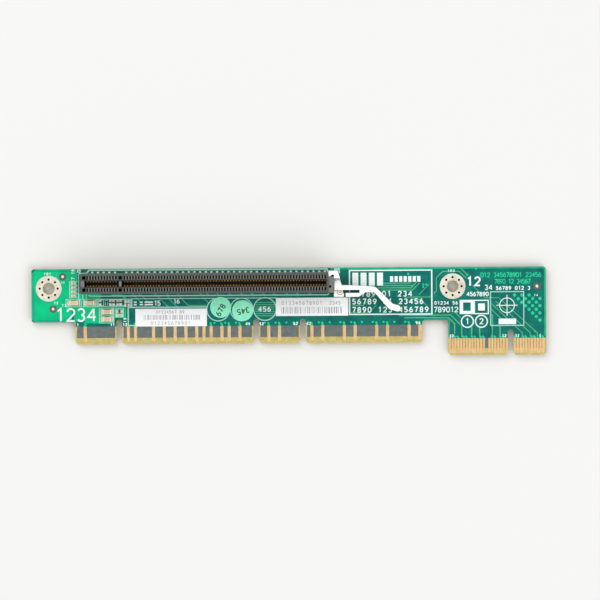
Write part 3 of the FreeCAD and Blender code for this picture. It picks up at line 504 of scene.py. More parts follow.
def mask_outline():
    """The mask's outline on either face, clockwise from the top left as seen from above."""
    m = MASK_INSET
    right = BOARD_LENGTH - m
    line = arc(m + LEFT_ROUND, m + LEFT_ROUND, LEFT_ROUND, 180, 270)
    line += arc(right - RIGHT_ROUND, m + RIGHT_ROUND, RIGHT_ROUND, 270, 360)
    line += [(right, NARROW_MASK_END)]
    line += notch(NARROW_KEY, NARROW_KEY_HALF, NARROW_KEY_TOP, NARROW_MASK_END)
    line += [(NARROW_LEFT + m, NARROW_MASK_END)]
    line += arc(NARROW_LEFT + m - SHOULDER_ROUND, SHOULDER - m + SHOULDER_ROUND, SHOULDER_ROUND, 0, -90)
    line += arc(WIDE_TAB[1] - m + SHOULDER_ROUND, SHOULDER - m + SHOULDER_ROUND, SHOULDER_ROUND, 270, 180)
    line += [(WIDE_TAB[1] - m, WIDE_MASK_END)]
    for x in reversed(WIDE_KEYS):
        line += notch(x, WIDE_KEY_HALF, WIDE_KEY_TOP, WIDE_MASK_END)
    line += [(WIDE_TAB[0] + m, WIDE_MASK_END), (WIDE_TAB[0] + m, SHOULDER - m)]
    line += arc(m + LEFT_ROUND, SHOULDER - m - LEFT_ROUND, LEFT_ROUND, 90, 180)
    return line


MASK_HOLES = [circle(x, y, 4.5, 48) for x, y in MOUNT_HOLES]
OPENINGS = [circle(x, y, FIDUCIAL_OPENING) for x, y in FIDUCIALS]


def make_front_mask():
    """The green mask on the upper face, open at the mounting holes and the fiducials."""
    mesh = bmesh.new()
    layer(mesh, mask_outline(), MASK_TOP, MASK_HOLES + OPENINGS)
    finished("front_solder_mask", mesh, MASK)


# Plain figures on a cell one unit high, each a list of strokes; y runs down. A space has none.
FIGURES = {
    " ": [],
    "0": [[*arc(0.3, 0.3, 0.29, 180, 360), *arc(0.3, 0.7, 0.29, 0, 180), (0.01, 0.3)]],
    "1": [[(0.1, 0.2), (0.34, 0), (0.34, 1)]],
    "2": [[*arc(0.3, 0.29, 0.28, 190, 395), (0.02, 0.98), (0.6, 0.98)]],
    "3": [arc(0.29, 0.26, 0.245, 205, 440), arc(0.28, 0.745, 0.255, 280, 515)],
    "4": [[(0.46, 0.02), (0, 0.68), (0.62, 0.68)], [(0.46, 0), (0.46, 1)]],
    "5": [[(0.56, 0.02), (0.1, 0.02), (0.07, 0.5)], arc(0.29, 0.69, 0.29, 222, 510)],
    "6": [arc(0.3, 0.7, 0.28, 180, 540, 16), [(0.02, 0.7), (0.1, 0.36), (0.28, 0.1), (0.48, 0.02)]],
    "7": [[(0, 0.02), (0.58, 0.02), (0.22, 1)]],
    "8": [arc(0.3, 0.26, 0.24, 90, 450, 14), arc(0.3, 0.74, 0.27, 270, 630, 14)],
    "9": [arc(0.3, 0.3, 0.28, 0, 360, 16), [(0.58, 0.3), (0.5, 0.64), (0.32, 0.9), (0.12, 0.98)]],
}


def digits(text, x, y, height, pitch, stroke, turn=0):
    """The lines of a row of figures from its top left corner, turned against the clock by some degrees."""
    cosine, sine = math.cos(math.radians(turn)), math.sin(math.radians(turn))
    lines = []
    for place, figure in enumerate(text):
        for strokes in FIGURES[figure]:
            cell = [(place * pitch + across * height, down * height) for across, down in strokes]
            lines.append((stroke, [(x + a * cosine + d * sine, y - a * sine + d * cosine) for a, d in cell]))
    return lines


def ring(x, y, radius):
    """A ring as a line that ends where it starts."""
    return arc(x, y, radius, 0, 360, 40)


def ruled(left, top, right, bottom):
    """A rectangle as a line that ends where it starts."""
    return [*oblong(left, top, right, bottom), (left, top)]


def draw(mesh, lines, low=BURIED, high=INK_TOP):
    """Draws lines, each given as its width and its turns: in ink, unless the heights say otherwise."""
    for width, points in lines:
        ribbon(mesh, points, width, low, high)


def spot(mesh, x, y, radius=0.4, steps=16, back=False):
    """A round spot of copper under the mask."""
    layer(mesh, circle(x, y, radius, steps), COPPER_TOP, foot=COPPER_FOOT, back=back)


# The pour at the left end, clockwise from its top left corner.
POUR_OUTLINE = [
    *arc(1.7, 1.7, 0.8, 180, 270),
    *[(16.2, 0.9), (16.2, 8.8), (24.6, 8.8), (24.6, 10.2), (24.0, 10.6), (24.0, 13.4)],
    *[(33.4, 13.4), (33.4, 17.4), (29.3, 17.4), (29.3, 19.2), (19.3, 19.2), (18.4, 17.6)],
    *[(17.3, 18.6), (15.0, 18.6), (15.0, 13.6), (14.2, 13.6), (14.2, 18.0)],
    *arc(1.7, 17.2, 0.8, 90, 180),
]
POUR_HOLE = circle(*MOUNT_HOLES[0], 4.55, 48)


def make_pours():
    """Copper pours under the mask: the broad one at the left end and the narrow ones along the edges."""
    mesh = bmesh.new()
    layer(mesh, POUR_OUTLINE, COPPER_TOP, [POUR_HOLE, *OPENINGS[:2]], foot=COPPER_FOOT)
    draw(mesh, [(0.9, [(19.0, 18.7), (18.8, 20.4)])], COPPER_FOOT, COPPER_TOP)
    finished("front_left_pour", mesh, MASK_BRIGHT)

    mesh = bmesh.new()
    right = BOARD_LENGTH - MASK_INSET - 0.33
    left_edge = [(14.6, 18.43), (1.3, 18.43), (0.46, 17.6), (0.46, 1.7), (1.7, 0.46), (16.0, 0.46)]
    right_edge = [(105.5, 0.4), *arc(right - 0.9, 0.4 + 0.9, 0.9, 270, 360), (right, 24.6)]
    draw(mesh, [(0.7, left_edge), (0.6, right_edge)], COPPER_FOOT, EDGE_POUR_TOP)
    bend = arc(NARROW_LEFT - 0.4, SHOULDER + 0.4, 0.8, 270, 360)
    shoulder = [(138.5, SHOULDER - 0.4), *bend, (NARROW_LEFT + 0.4, 23.6)]
    draw(mesh, [(0.3, shoulder)], COPPER_FOOT, COPPER_TOP)
    finished("front_edge_pours", mesh, MASK_EDGE)


# Traces on the upper face: a width, then the turns of each line.
TRACES = (
    (0.35, [(142.0, 9.4), (142.8, 8.4), (142.8, 3.9), (145.1, 1.6), (150.9, 1.6), (153.3, 4.0)]),
    (0.35, [(151.6, 0.7), (153.9, 3.0)]),
    (0.3, [(155.6, 6.6), (159.9, 11.0), (164.9, 11.0), (166.4, 12.5), (178.4, 23.6), (178.4, 24.9)]),
    (0.3, [(163.6, 12.1), (175.8, 23.4), (175.8, 24.9)]),
    (0.3, [(162.2, 13.0), (173.0, 23.4), (173.0, 24.9)]),
    (0.3, [(162.0, 14.9), (168.2, 20.9)]),
    (0.45, [(162.5, 16.8), (162.5, 24.9)]),
    (0.45, [(165.2, 20.8), (165.2, 24.9)]),
    (0.45, [(158.0, 21.4), (158.0, 24.9)]),
    (0.45, [(155.2, 21.3), (155.2, 24.9)]),
    (0.45, [(151.7, 20.3), (151.7, 24.9)]),
    (0.4, [(131.5, 17.9), (147.0, 17.9), (149.2, 20.1), (149.2, 23.6)]),
    (0.4, [(129.5, 17.0), (147.8, 17.0), (151.3, 20.5)]),
    (0.35, [(148.9, 15.6), (151.3, 18.0)]),
    (0.35, [(124.0, 5.7), (133.5, 5.7), (136.2, 3.0)]),
    (0.35, [(124.0, 6.5), (134.6, 6.5), (136.4, 4.7)]),
    (0.35, [(122.2, 7.3), (133.9, 7.3), (136.9, 4.3)]),
    (0.35, [(123.4, 8.1), (134.4, 8.1), (136.8, 5.7)]),
    (0.3, [(136.6, 9.8), (140.3, 6.1)]),
    (0.3, [(131.4, 10.6), (140.4, 10.6), (141.0, 10.0)]),
    (0.3, [(134.0, 11.4), (137.2, 11.4), (139.6, 13.8)]),
    (0.3, [(113.0, 13.4), (117.0, 13.4), (122.6, 7.8)]),
    (0.3, [(112.6, 16.0), (119.0, 16.0), (121.6, 13.4)]),
    (0.3, [(131.0, 13.6), (133.6, 16.2)]),
    (0.35, [(44.7, 10.0), (48.6, 13.9)]),
    (0.35, [(48.2, 9.6), (48.2, 10.4), (51.8, 14.0)]),
    (0.35, [(52.2, 10.0), (55.3, 13.1), (61.6, 13.1)]),
    (0.35, [(60.4, 10.2), (62.8, 12.6)]),
    (0.3, [(36.0, 9.3), (40.6, 13.9)]),
    (0.3, [(38.6, 9.2), (43.2, 13.8)]),
    (0.45, [(28.2, 9.25), (31.6, 9.25), (33.4, 10.6)]),
    (0.5, [(34.0, 13.6), (34.0, 19.4)]),
    *((0.3, [(78.9, 12.2 + 0.78 * k), (86.2, 12.2 + 0.78 * k)]) for k in range(7)),
)
TRACE_VIAS = (
    *((156.9, 0.7), (153.7, 2.8), (132.9, 2.4), (138.2, 6.2)),
    *((138.2, 7.0), (139.3, 6.2), (177.6, 22.9)),
)
# Where short traces leave the slot's lower edge.
SLOT_STUBS = (36.2, 38.4, 44.0, 48.2, 52.1, 60.0, 62.3, 66.0, 70.2, 74.4, 78.1, 82.2, 86.0, 90.3, 94.1, 98.4)
# The chequered triangle of dots at the right end, which has one place empty.
DOT_COLUMNS = 8
DOT_CORNER = (170.4, 10.1)
DOT_PITCH = 1.27
EMPTY_DOT = (6, 0)
STUBS_FROM = 20.0  # fingers left of this join the pour and have no stub
WIDE_STUB, NARROW_STUB = 0.7, 0.6  # their widths
BACK_VIAS = (62.0, 136.0)  # vias of the back's fingers show between these
FINGER_VIA_DOWN = 19.3


def make_traces():
    """Traces, the stubs above the fingers, the round dots and the figures in copper, all under the mask."""
    mesh = bmesh.new()
    stubs = [(0.4, [(x - 0.6, 8.8), (x, 9.4), (x, 9.9)]) for x in SLOT_STUBS]
    draw(mesh, [*TRACES, *stubs], COPPER_FOOT, COPPER_TOP)
    finished("front_traces", mesh, MASK_ON_COPPER)

    mesh = bmesh.new()
    wide = [x for x in middles("wide_fingers_front") if x > STUBS_FROM]
    stubs = [(WIDE_STUB, [(x, WIDE_MASK_END + 0.1), (x, 19.9), (x - 0.3, 19.1)]) for x in wide]
    narrow = [x for number, x in enumerate(middles("narrow_fingers_front")) if number % 3 != 1]
    stubs += [(NARROW_STUB, [(x, NARROW_MASK_END + 0.1), (x, 24.9), (x - 0.5, 24.4)]) for x in narrow]
    stubs += digits("012 345678901 23456", 158.5, 2.2, 1.5, 1.13, 0.31)
    stubs += digits("7890 12 34567", 163.3, 4.5, 1.5, 0.98, 0.31)
    draw(mesh, stubs, COPPER_FOOT, COPPER_TOP)
    for x, y in TRACE_VIAS:
        spot(mesh, x, y)
    for x in middles("wide_fingers_back"):
        if BACK_VIAS[0] < x - 0.1 < BACK_VIAS[1]:
            spot(mesh, x - 0.1, FINGER_VIA_DOWN)
    for column in range(DOT_COLUMNS):
        for row in range(column % 2, column + 1, 2):
            if (column, row) != EMPTY_DOT:
                spot(mesh, DOT_CORNER[0] + DOT_PITCH * column, DOT_CORNER[1] + DOT_PITCH * row, 0.6, 20)
    finished("front_stubs_and_dots", mesh, MASK_MINT)


# The thin ink, each line a width and its turns: round the slot and the left label, the rings under the
# stickers, and the frames and marks of the chips.
THIN_INK = (
    (0.52, [(19.6, 1.5), (20.3, 0.46), (104.2, 0.46), (105.3, 3.4)]),
    (0.42, [(20.2, 9.3), (20.8, 9.6), (104.4, 9.6), (105.0, 9.2)]),
    (0.32, [(16.65, 1.7), (16.65, 10.6)]),
    (0.4, [(16.7, 1.6), (19.6, 1.5)]),
    (0.3, [(18.1, 9.0), (18.1, 10.6)]),
    (0.3, [(19.3, 9.0), (19.3, 10.6)]),
    (0.5, [(108.4, 0.2), (108.7, 2.0)]),
    (0.3, [(35.6, 10.6), (86.4, 10.6)]),
    (0.36, [(35.4, 10.4), (35.4, 13.6)]),
    (0.4, [(36.4, 20.05), (34.1, 20.05), (34.1, 13.65), (61.9, 13.65)]),
    *((0.35, ring(x, y, 4.0)) for x, y in ((65.8, 14.6), (74.1, 14.6), (82.3, 14.5))),
    *((0.2, ruled(a, 10.95, b, 12.95)) for a, b in ((24.0, 25.45), (27.5, 28.9), (28.9, 30.3))),
    *((0.2, ruled(a, 10.95, b, 12.95)) for a, b in ((30.3, 31.7), (31.7, 32.95))),
    *((0.2, ruled(33.1, top, 34.9, top + 1.0)) for top in (10.95, 12.0)),
    (0.2, [(25.9, 11.1), (27.1, 11.1)]),
    *((0.2, [(x, 11.8), (x, 12.9)]) for x in (26.1, 26.9)),
    *((0.22, [(13.6, top), (16.2, top)]) for top in (4.35, 5.8, 7.25, 8.7, 10.1)),
    (0.26, [(13.5, 4.3), (13.5, 10.2)]),
    (0.24, ruled(12.2, 10.7, 17.5, 13.3)),
    (0.24, ruled(18.3, 10.7, 23.3, 13.3)),
    (0.24, ruled(23.9, 13.9, 29.0, 16.5)),
    (0.24, ruled(23.9, 16.5, 29.0, 19.1)),
    (0.24, ruled(29.7, 14.1, 32.4, 17.0)),
    (0.24, ruled(23.5, 10.7, 35.2, 13.2)),
    (0.32, ruled(161.9, 8.9, 173.6, 20.8)),
)
FINGER_NUMBERS = (
    *(("1", 16.0, 19.3), ("11", 27.8, 19.3), ("12", 32.2, 19.3), ("49", 75.6, 19.3), ("52", 80.4, 19.3)),
    *(("62", 92.4, 19.3), ("63", 97.0, 19.3), ("94", 135.6, 19.3)),
    *(("32", 147.4, 24.0), ("12", 166.0, 24.0), ("11", 170.6, 24.0), ("1", 179.1, 24.0)),
)
# The bolder ink: the ruled box, rows of plain figures, the marks at the right end and the small numbers.
BOLD_INK = (
    (0.45, ruled(112.2, 1.1, 141.2, 16.6)),
    *digits("789 01 234", 116.4, 8.5, 1.75, 1.85, 0.36),
    *digits("56789 01 23456", 113.2, 11.2, 1.75, 1.83, 0.36),
    *digits("7890 123 456789", 113.2, 14.1, 1.75, 1.83, 0.36),
    *digits("1234", 8.8, 14.0, 4.4, 3.7, 0.62),
    *digits("01234 56", 142.2, 12.2, 1.05, 1.06, 0.24),
    *digits("789012", 142.0, 14.2, 1.75, 1.46, 0.3),
    *digits("4567890", 153.6, 9.0, 1.35, 1.12, 0.3),
    *digits("12", 153.7, 3.7, 3.0, 2.7, 0.62),
    *digits("34", 159.9, 6.5, 1.7, 1.5, 0.3),
    *digits("56789 012 3", 163.9, 7.05, 1.15, 1.12, 0.3),
    *digits("456", 80.1, 13.7, 1.65, 1.6, 0.3),
    *digits("01", 107.0, 0.4, 0.8, 0.6, 0.2),
    (0.4, ruled(156.2, 11.9, 161.1, 16.6)),
    (0.42, ring(153.7, 19.3, 2.1)),
    *digits("1", 153.15, 18.3, 1.9, 1.0, 0.34),
    (0.42, ring(158.65, 19.3, 2.1)),
    *digits("2", 158.1, 18.3, 1.9, 1.0, 0.34),
    (0.28, ring(167.7, 13.7, 2.6)),
    (0.28, [(164.0, 13.7), (171.4, 13.7)]),
    (0.28, [(167.7, 10.0), (167.7, 17.4)]),
    (0.26, ruled(16.4, 0.3, 17.2, 1.1)),
    *digits("101", 4.5, 1.3, 0.75, 0.95, 0.2),
    *digits("102", 146.9, 1.0, 0.75, 0.95, 0.2),
    *digits("11", 10.6, 4.5, 0.6, 0.7, 0.18),
    *digits("12", 8.0, 11.6, 0.7, 0.85, 0.2),
    *digits("13", 10.8, 12.4, 0.8, 0.9, 0.2),
    *digits("14", 177.3, 9.9, 0.6, 0.85, 0.2),
    *digits("19", 32.5, 18.9, 0.95, 0.9, 0.22, turn=90),
    *digits("17 18", 14.2, 4.6, 1.0, 0.95, 0.2, turn=90),
    *(line for number in FINGER_NUMBERS for line in digits(*number, 0.85, 0.85, 0.26)),
    *digits("15", 43.3, 11.4, 1.6, 1.15, 0.3),
    *digits("16", 50.2, 10.9, 1.4, 1.1, 0.3),
)
BAR_PAIRS = ((36.1, 37.1), (38.2, 39.2), (39.9, 42.8))
# Filled patches of white ink: left, top, right and bottom.
INK_BLOCKS = (
    *((left, 1.9, left + 2.1, 6.5) for left in (113.2, 116.1, 119.0, 121.9)),
    *((126.5 + 1.6 * place, 3.2, 127.6 + 1.6 * place, 5.2) for place in range(7)),
    (157.5, 13.0, 159.9, 15.5),
    (164.7, 18.4, 170.9, 20.35),
    *((left, 11.55, right, 12.05) for left, right in BAR_PAIRS),
    *((left, 12.45, right, 12.95) for left, right in BAR_PAIRS),
)


def make_ink():
    """The thin ink lines, and the bolder ink with its solid blocks."""
    thin, bold = bmesh.new(), bmesh.new()
    draw(thin, THIN_INK)
    draw(bold, BOLD_INK)
    for block in INK_BLOCKS:
        layer(bold, oblong(*block), INK_TOP)
    layer(bold, oblong(151.0, 11.7, 156.1, 16.7), INK_TOP, [oblong(152.2, 12.6, 154.9, 15.6)])
    finished("thin_ink_lines", thin, PALE_INK)
    finished("white_ink_legends", bold, INK)


# ---- bare tabs and plated parts

WIDE_PLANE_END = 24.4
NARROW_GAP_END = 28.8
PLANE_SIDE = 0.55  # how far the plane stays from the tab's sides and keys
FINGER_GAP = 0.6  # a wider gap on the narrow tab is a missing finger, and one wider still is the key
KEY_GAP = 1.6


def draw_wide_planes(mesh, back=False):
    """The plane inside the wide tab, between its sides and keys."""
    sides = [WIDE_TAB[0]]
    for x in WIDE_KEYS:
        sides += [x - WIDE_KEY_HALF, x + WIDE_KEY_HALF]
    sides.append(WIDE_TAB[1])
    for left, right in zip(sides[::2], sides[1::2]):
        patch = oblong(left + PLANE_SIDE, WIDE_MASK_END - 0.1, right - PLANE_SIDE, WIDE_PLANE_END)
        layer(mesh, patch, THIN_TOP, back=back)


def make_inner_planes():
    """What shows through the bare laminate: the grey plane of the tabs, the tan gaps between the narrow
    tab's fingers, and the ground of the fiducials."""
    planes, gaps, openings = bmesh.new(), bmesh.new(), bmesh.new()
    draw_wide_planes(planes)
    fingers = islands("narrow_fingers_front")
    for (_, before), (after, _) in zip(fingers, fingers[1:]):
        strip = oblong(before[0] - 0.02, NARROW_MASK_END - 0.1, after[0] + 0.02, NARROW_GAP_END)
        if after[0] - before[0] < KEY_GAP:
            layer(gaps if after[0] - before[0] < FINGER_GAP else planes, strip, THIN_TOP)
    for x, y in FIDUCIALS:
        layer(openings, circle(x, y, FIDUCIAL_OPENING + 0.05), THIN_TOP)
    finished("front_inner_planes", planes, INNER_PLANE)
    finished("narrow_tab_gaps", gaps, GAP)
    finished("fiducial_openings", openings, OPENING)


FINGER_ROUND = 0.42  # the radius at a finger's free end, as a share of its width
FINGER_TOP = 0.045


def finger_shape(low, high):
    """A finger's outline at an inset: square where it runs under the mask, round at its free end."""

    def shape(inset):
        left, right, bottom = low[0] + inset, high[0] - inset, high[1] - inset
        radius = (right - left) * FINGER_ROUND
        free_end = arc(right - radius, bottom - radius, radius, 0, 90, 5)
        free_end += arc(left + radius, bottom - radius, radius, 90, 180, 5)
        return [(left, low[1] - 0.05), (right, low[1] - 0.05), *free_end]

    return shape


def make_fingers():
    """Gold fingers with sloping edges and round ends, in place of the plain plates."""
    for tab in ("wide", "narrow"):
        for face in ("front", "back"):
            cad_name = f"{tab}_fingers_{face}"
            mesh = bmesh.new()
            for low, high in islands(cad_name):
                shape = finger_shape(low, high)
                crowned(mesh, shape, BURIED, FINGER_TOP, edge=0.08, drop=0.02, back=face == "back")
            finished(f"gold_{cad_name}", mesh, GOLD, cad_name)


RING_RADIUS = 4.53
RING_HOLE = 2.2
RING_VIAS = 8
VIA_CIRCLE = 3.17
VIA_RADIUS = 0.42
LIP = 0.16  # the width of the raised lips round a ring
LIP_HEIGHTS = (0.02, 0.075)
CHIP_VIA_RADIUS = 0.26
CHIP_VIAS = ((15.95, 5.05), (15.95, 6.5), (15.95, 7.95), (15.95, 9.4))  # beside the column of chips


def make_mount_rings():
    """Tinned rings with eight vias each, on both faces, and near-black discs of painted shade for the vias'
    holes, at the rings and beside the chips.
    """
    painted_shades = bmesh.new()
    for side, (x, y) in zip(("left", "right"), MOUNT_HOLES):
        turns = [k * 2 * math.pi / RING_VIAS for k in range(RING_VIAS)]
        vias = [(x + VIA_CIRCLE * math.cos(turn), y + VIA_CIRCLE * math.sin(turn)) for turn in turns]
        holes = [circle(x, y, RING_HOLE, 40)] + [circle(*via, VIA_RADIUS, 16) for via in vias]
        mesh = bmesh.new()
        for back in (False, True):
            layer(mesh, circle(x, y, RING_RADIUS, 56), RING_TOP, holes, back=back)
            for via in vias:
                layer(painted_shades, circle(*via, VIA_RADIUS + 0.02, 16), THIN_TOP, back=back)
        for radius, steps in ((RING_RADIUS - LIP / 2, 56), (RING_HOLE + LIP / 2, 40)):
            ribbon(mesh, circle(x, y, radius, steps), LIP, *LIP_HEIGHTS, closed=True)
        finished(f"tinned_ring_{side}", mesh, TIN, f"mount_ring_{side}")
    for x, y in CHIP_VIAS:
        layer(painted_shades, circle(x, y, CHIP_VIA_RADIUS, 12), INK_TOP)
    finished("via_painted_shades", painted_shades, VIA_PAINTED_SHADE)


DOT_RADIUS = 0.55
DOT_TOP = 0.08
DOME_LEVELS = 4
DOME_FOOT = 0.3  # the share of a dot's height that stands upright


def make_dots():
    """The bright placement dots, each a low dome."""
    mesh = bmesh.new()
    for x, y in FIDUCIALS:
        rings = [[(*place, BURIED) for place in circle(x, y, DOT_RADIUS, 20)]]
        for level in range(DOME_LEVELS):
            angle = math.pi / 2 * level / DOME_LEVELS
            rise = BURIED + (DOT_TOP - BURIED) * (DOME_FOOT + (1 - DOME_FOOT) * math.sin(angle))
            rings.append([(*place, rise) for place in circle(x, y, DOT_RADIUS * math.cos(angle), 20)])
        loft(mesh, rings, tip=(x, y, DOT_TOP))
    finished("domed_fiducial_dots", mesh, TIN, "fiducial_dots", smooth_angle=60)


# ---- slot

SLOT_DOWN = 5.1
SLOT_VIA_DOWN = 1.29
# How far each of these reaches from the slot's middle line.
SLOT_INSIDE = 3.3
OUTER_TAILS = 2.0
CHAMBER = (1.25, 2.7)
WINDOW_ROW = (1.5, 2.7)
KEY_STEP = 1.5  # contacts further apart than this have the slot's key between them
HIGHLIGHT_LIFT = 0.004  # patches of painted highlight lie this much above the slot's top
HIGHLIGHT_RIB_HALF = 0.19
KEY_DEPTH = 1.6  # how far down the key keeps the slot's colour
# The painted highlight patches on the key and at the slot's left end: half their length, half their depth and
# rounding.
KEY_PATCH_HALF, END_PATCH_HALF = 0.42, 0.6
PATCH_REACH, PATCH_ROUND = 0.95, 0.35
END_PATCH_INSET = 1.3
# The ribs between the chambers and the floor below them: half a rib's width, then heights.
RIB_HALF = 0.2
RIB_HEIGHTS = (2.3, 9.8)
CHAMBER_FLOOR = (2.2, 2.4)


def between_contacts():
    """The middles between neighbouring contacts, without the key's, and the key's middle."""
    columns = middles("slot_contacts_upper")
    steps = list(zip(columns, columns[1:]))
    key = next((x + after) / 2 for x, after in steps if after - x > KEY_STEP)
    return [(x + after) / 2 for x, after in steps if after - x < KEY_STEP], key


def band(side, reaches):
    """The top and bottom of a row that runs along one side of the slot."""
    return sorted(SLOT_DOWN + side * reach for reach in reaches)


def make_slot_housing():
    """The moulding with its edges eased: grey outside, near black in painted shade down in its mouth and
    chambers, and paler in painted highlight on its end block, key and ribs."""
    piece = softened("moulded_slot_housing", "slot_housing", HOUSING, 0.05)
    piece.data.materials.append(CHAMBER_SHADE)
    piece.data.materials.append(HIGHLIGHT_HOUSING)
    low, high = (card_place(corner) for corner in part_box("slot_housing"))
    top = high[2]
    contacts_end = middles("slot_contacts_upper")[-1] + 1.0
    ribs, key = between_contacts()
    for face in piece.data.polygons:
        x, y, rise = card_place(face.center)
        sunk = rise < top - 0.05 and abs(y - SLOT_DOWN) < SLOT_INSIDE
        on_key = rise > top - KEY_DEPTH and abs(x - key) < 0.4
        # Painted shade: sunk faces in the mouth and chambers take the near-black copy of the plastic.
        if sunk and low[0] + 0.1 < x < contacts_end and not on_key:
            face.material_index = 1
        # Painted highlight: faces past the contacts, on the end block, take the paler copy of the plastic.
        elif x > contacts_end:
            face.material_index = 2
    patches = []
    for x, half in ((key, KEY_PATCH_HALF), (low[0] + END_PATCH_INSET, END_PATCH_HALF)):
        patches.append((x - half, SLOT_DOWN - PATCH_REACH, x + half, SLOT_DOWN + PATCH_REACH, PATCH_ROUND))
    for side in (-1, 1):
        near, far = band(side, WINDOW_ROW)
        patches += [(x - HIGHLIGHT_RIB_HALF, near, x + HIGHLIGHT_RIB_HALF, far, 0.1, 3) for x in ribs]
    mesh = bmesh.new()
    for patch in patches:
        slab(mesh, oblong(*patch), top - 0.02, top + HIGHLIGHT_LIFT)
    finished("slot_rib_painted_highlights", mesh, HIGHLIGHT_HOUSING)


# A contact's way from its foot on the board to its turned-back tip: distance from the middle, and height.
CONTACT_BENDS = (
    *((1.3, 4.4), (0.92, 6.6), (0.72, 7.5), (0.6, 8.2)),
    *((0.55, 8.7), (0.62, 9.2), (0.8, 9.8), (1.06, 10.5)),
)
CONTACT_HALF = 0.22
CONTACT_THICK = 0.14


def make_contacts():
    """The formed contacts, which lean in, bulge towards the card and turn back at the top."""
    for side, node_name in ((-1, "slot_contacts_upper"), (1, "slot_contacts_lower")):
        mesh = bmesh.new()
        for low, high in islands(node_name):
            left, right = middle(low, high)[0] - CONTACT_HALF, middle(low, high)[0] + CONTACT_HALF
            foot = max(abs(low[1] - SLOT_DOWN), abs(high[1] - SLOT_DOWN)) - CONTACT_THICK
            rings = []
            path = [(foot, 0.0), (foot, 2.4), *CONTACT_BENDS]
            for inner, outer in sides_of(path, CONTACT_THICK, closed=False):
                corners = ((left, inner), (right, inner), (right, outer), (left, outer))
                rings.append([(x, SLOT_DOWN + side * reach, rise) for x, (reach, rise) in corners])
            loft(mesh, rings)
        finished(f"formed_{node_name}", mesh, CONTACT, node_name, smooth_angle=40)


def make_slot_inside():
    """The ribs between the contact chambers, and a floor under the windows, both near black in painted shade.
    """
    mesh = bmesh.new()
    columns = middles("slot_contacts_upper")
    ribs, _ = between_contacts()
    for side in (-1, 1):
        near, far = band(side, CHAMBER)
        slab(mesh, oblong(columns[0] - 1.9, near, columns[-1] + 0.4, far), *CHAMBER_FLOOR)
        for x in ribs:
            slab(mesh, oblong(x - RIB_HALF, near, x + RIB_HALF, far), *RIB_HEIGHTS)
    finished("chamber_ribs", mesh, CHAMBER_SHADE)


def make_slot_vias():
    """The tinned vias along the slot's upper side, one beside every other contact."""
    mesh = bmesh.new()
    for low, high in islands("slot_contacts_upper"):
        if SLOT_DOWN - low[1] > OUTER_TAILS:
            x, y = middle(low, high)[0], SLOT_VIA_DOWN
            layer(mesh, oblong(x - 0.4, y - 0.3, x + 0.4, y + 0.3, 0.28), PAD_TOP)
    finished("slot_vias", mesh, TIN)


# ---- chips

FILLET_STEPS = 6
PAD_RIM = 0.1
ALIGNED = 0.02  # the two ends of a chip differ by less than this in one direction


def fillet(mesh, low, high, outward, axis, reach, share):
    """A concave solder fillet outside a chip's end, from part of its height down to its pad."""
    rise = (high[2] - low[2]) * share
    start = (high if outward > 0 else low)[axis]
    near, far = low[1 - axis], high[1 - axis]
    rings = []
    for i in range(FILLET_STEPS + 1):
        angle = math.pi / 2 * i / FILLET_STEPS
        out = start + outward * reach * (1 - math.cos(angle)) + outward * 0.001
        height = 0.02 + rise * (1 - math.sin(angle))
        ring = ((out, near, height), (out, far, height), (out, far, BURIED), (out, near, BURIED))
        rings.append([(a, b, z) if axis == 0 else (b, a, z) for a, b, z in ring])
    loft(mesh, rings)


def distance(first, second):
    """How far apart two solids are, where one lies straight across or straight down from the other."""
    across, down = (abs(a - b) for a, b in zip(middle(*first)[:2], middle(*second)[:2]))
    return across + down if min(across, down) <= ALIGNED else math.inf


def chip_ends(name):
    """The two ends of each chip of a node."""
    unpaired = islands(name)
    while unpaired:
        first = unpaired.pop(0)
        second = min(unpaired, key=lambda other: distance(first, other))
        unpaired.remove(second)
        yield first, second


def make_chip_solder(name, ends, reach, share):
    """Pads and concave fillets at the ends of the chips of one node."""
    mesh = bmesh.new()
    for pair in chip_ends(ends):
        axis = 0 if abs(middle(*pair[0])[0] - middle(*pair[1])[0]) > ALIGNED else 1
        for outward, (low, high) in zip((-1, 1), sorted(pair, key=lambda end: end[0][axis])):
            fillet(mesh, low, high, outward, axis, reach, share)
            pad = [low[0] - PAD_RIM, low[1] - PAD_RIM, high[0] + PAD_RIM, high[1] + PAD_RIM]
            pad[axis + 1 + outward] += outward * reach
            layer(mesh, oblong(*pad, 0.08, 3), PAD_TOP)
    finished(name, mesh, SOLDER, smooth_angle=50)


# Where the small chips have tan bodies: left, right, top and bottom of each area.
TAN_CHIPS = ((13.0, 17.0, 4.0, 11.0), (29.5, 32.6, 15.6, 17.5), (33.0, 35.2, 10.5, 11.95))


def make_chips():
    """Eased chip bodies and ends, with their pads and solder."""
    for number in range(1, 5):
        softened(f"fired_capacitor_{number}", f"capacitor_{number}_body", CERAMIC, 0.06)
        softened(f"plated_ends_{number}", f"capacitor_{number}_ends", TIN, 0.08, segments=3)
        make_chip_solder(f"capacitor_solder_{number}", f"capacitor_{number}_ends", 0.5, 0.7)
    tops = softened("small_chip_tops", "small_chip_bodies", DARK_CERAMIC, 0.03)
    tops.data.materials.append(CERAMIC)
    for face in tops.data.polygons:
        x, y, _ = card_place(face.center)
        face.material_index = int(any(a < x < b and c < y < d for a, b, c, d in TAN_CHIPS))
    softened("small_plated_ends", "small_chip_ends", TIN, 0.05)
    make_chip_solder("small_chip_solder", "small_chip_ends", 0.28, 0.8)


# ---- labels

LABEL_TOP = 0.1
PRINT_FOOT, PRINT_TOP = LABEL_TOP - 0.02, LABEL_TOP + 0.008
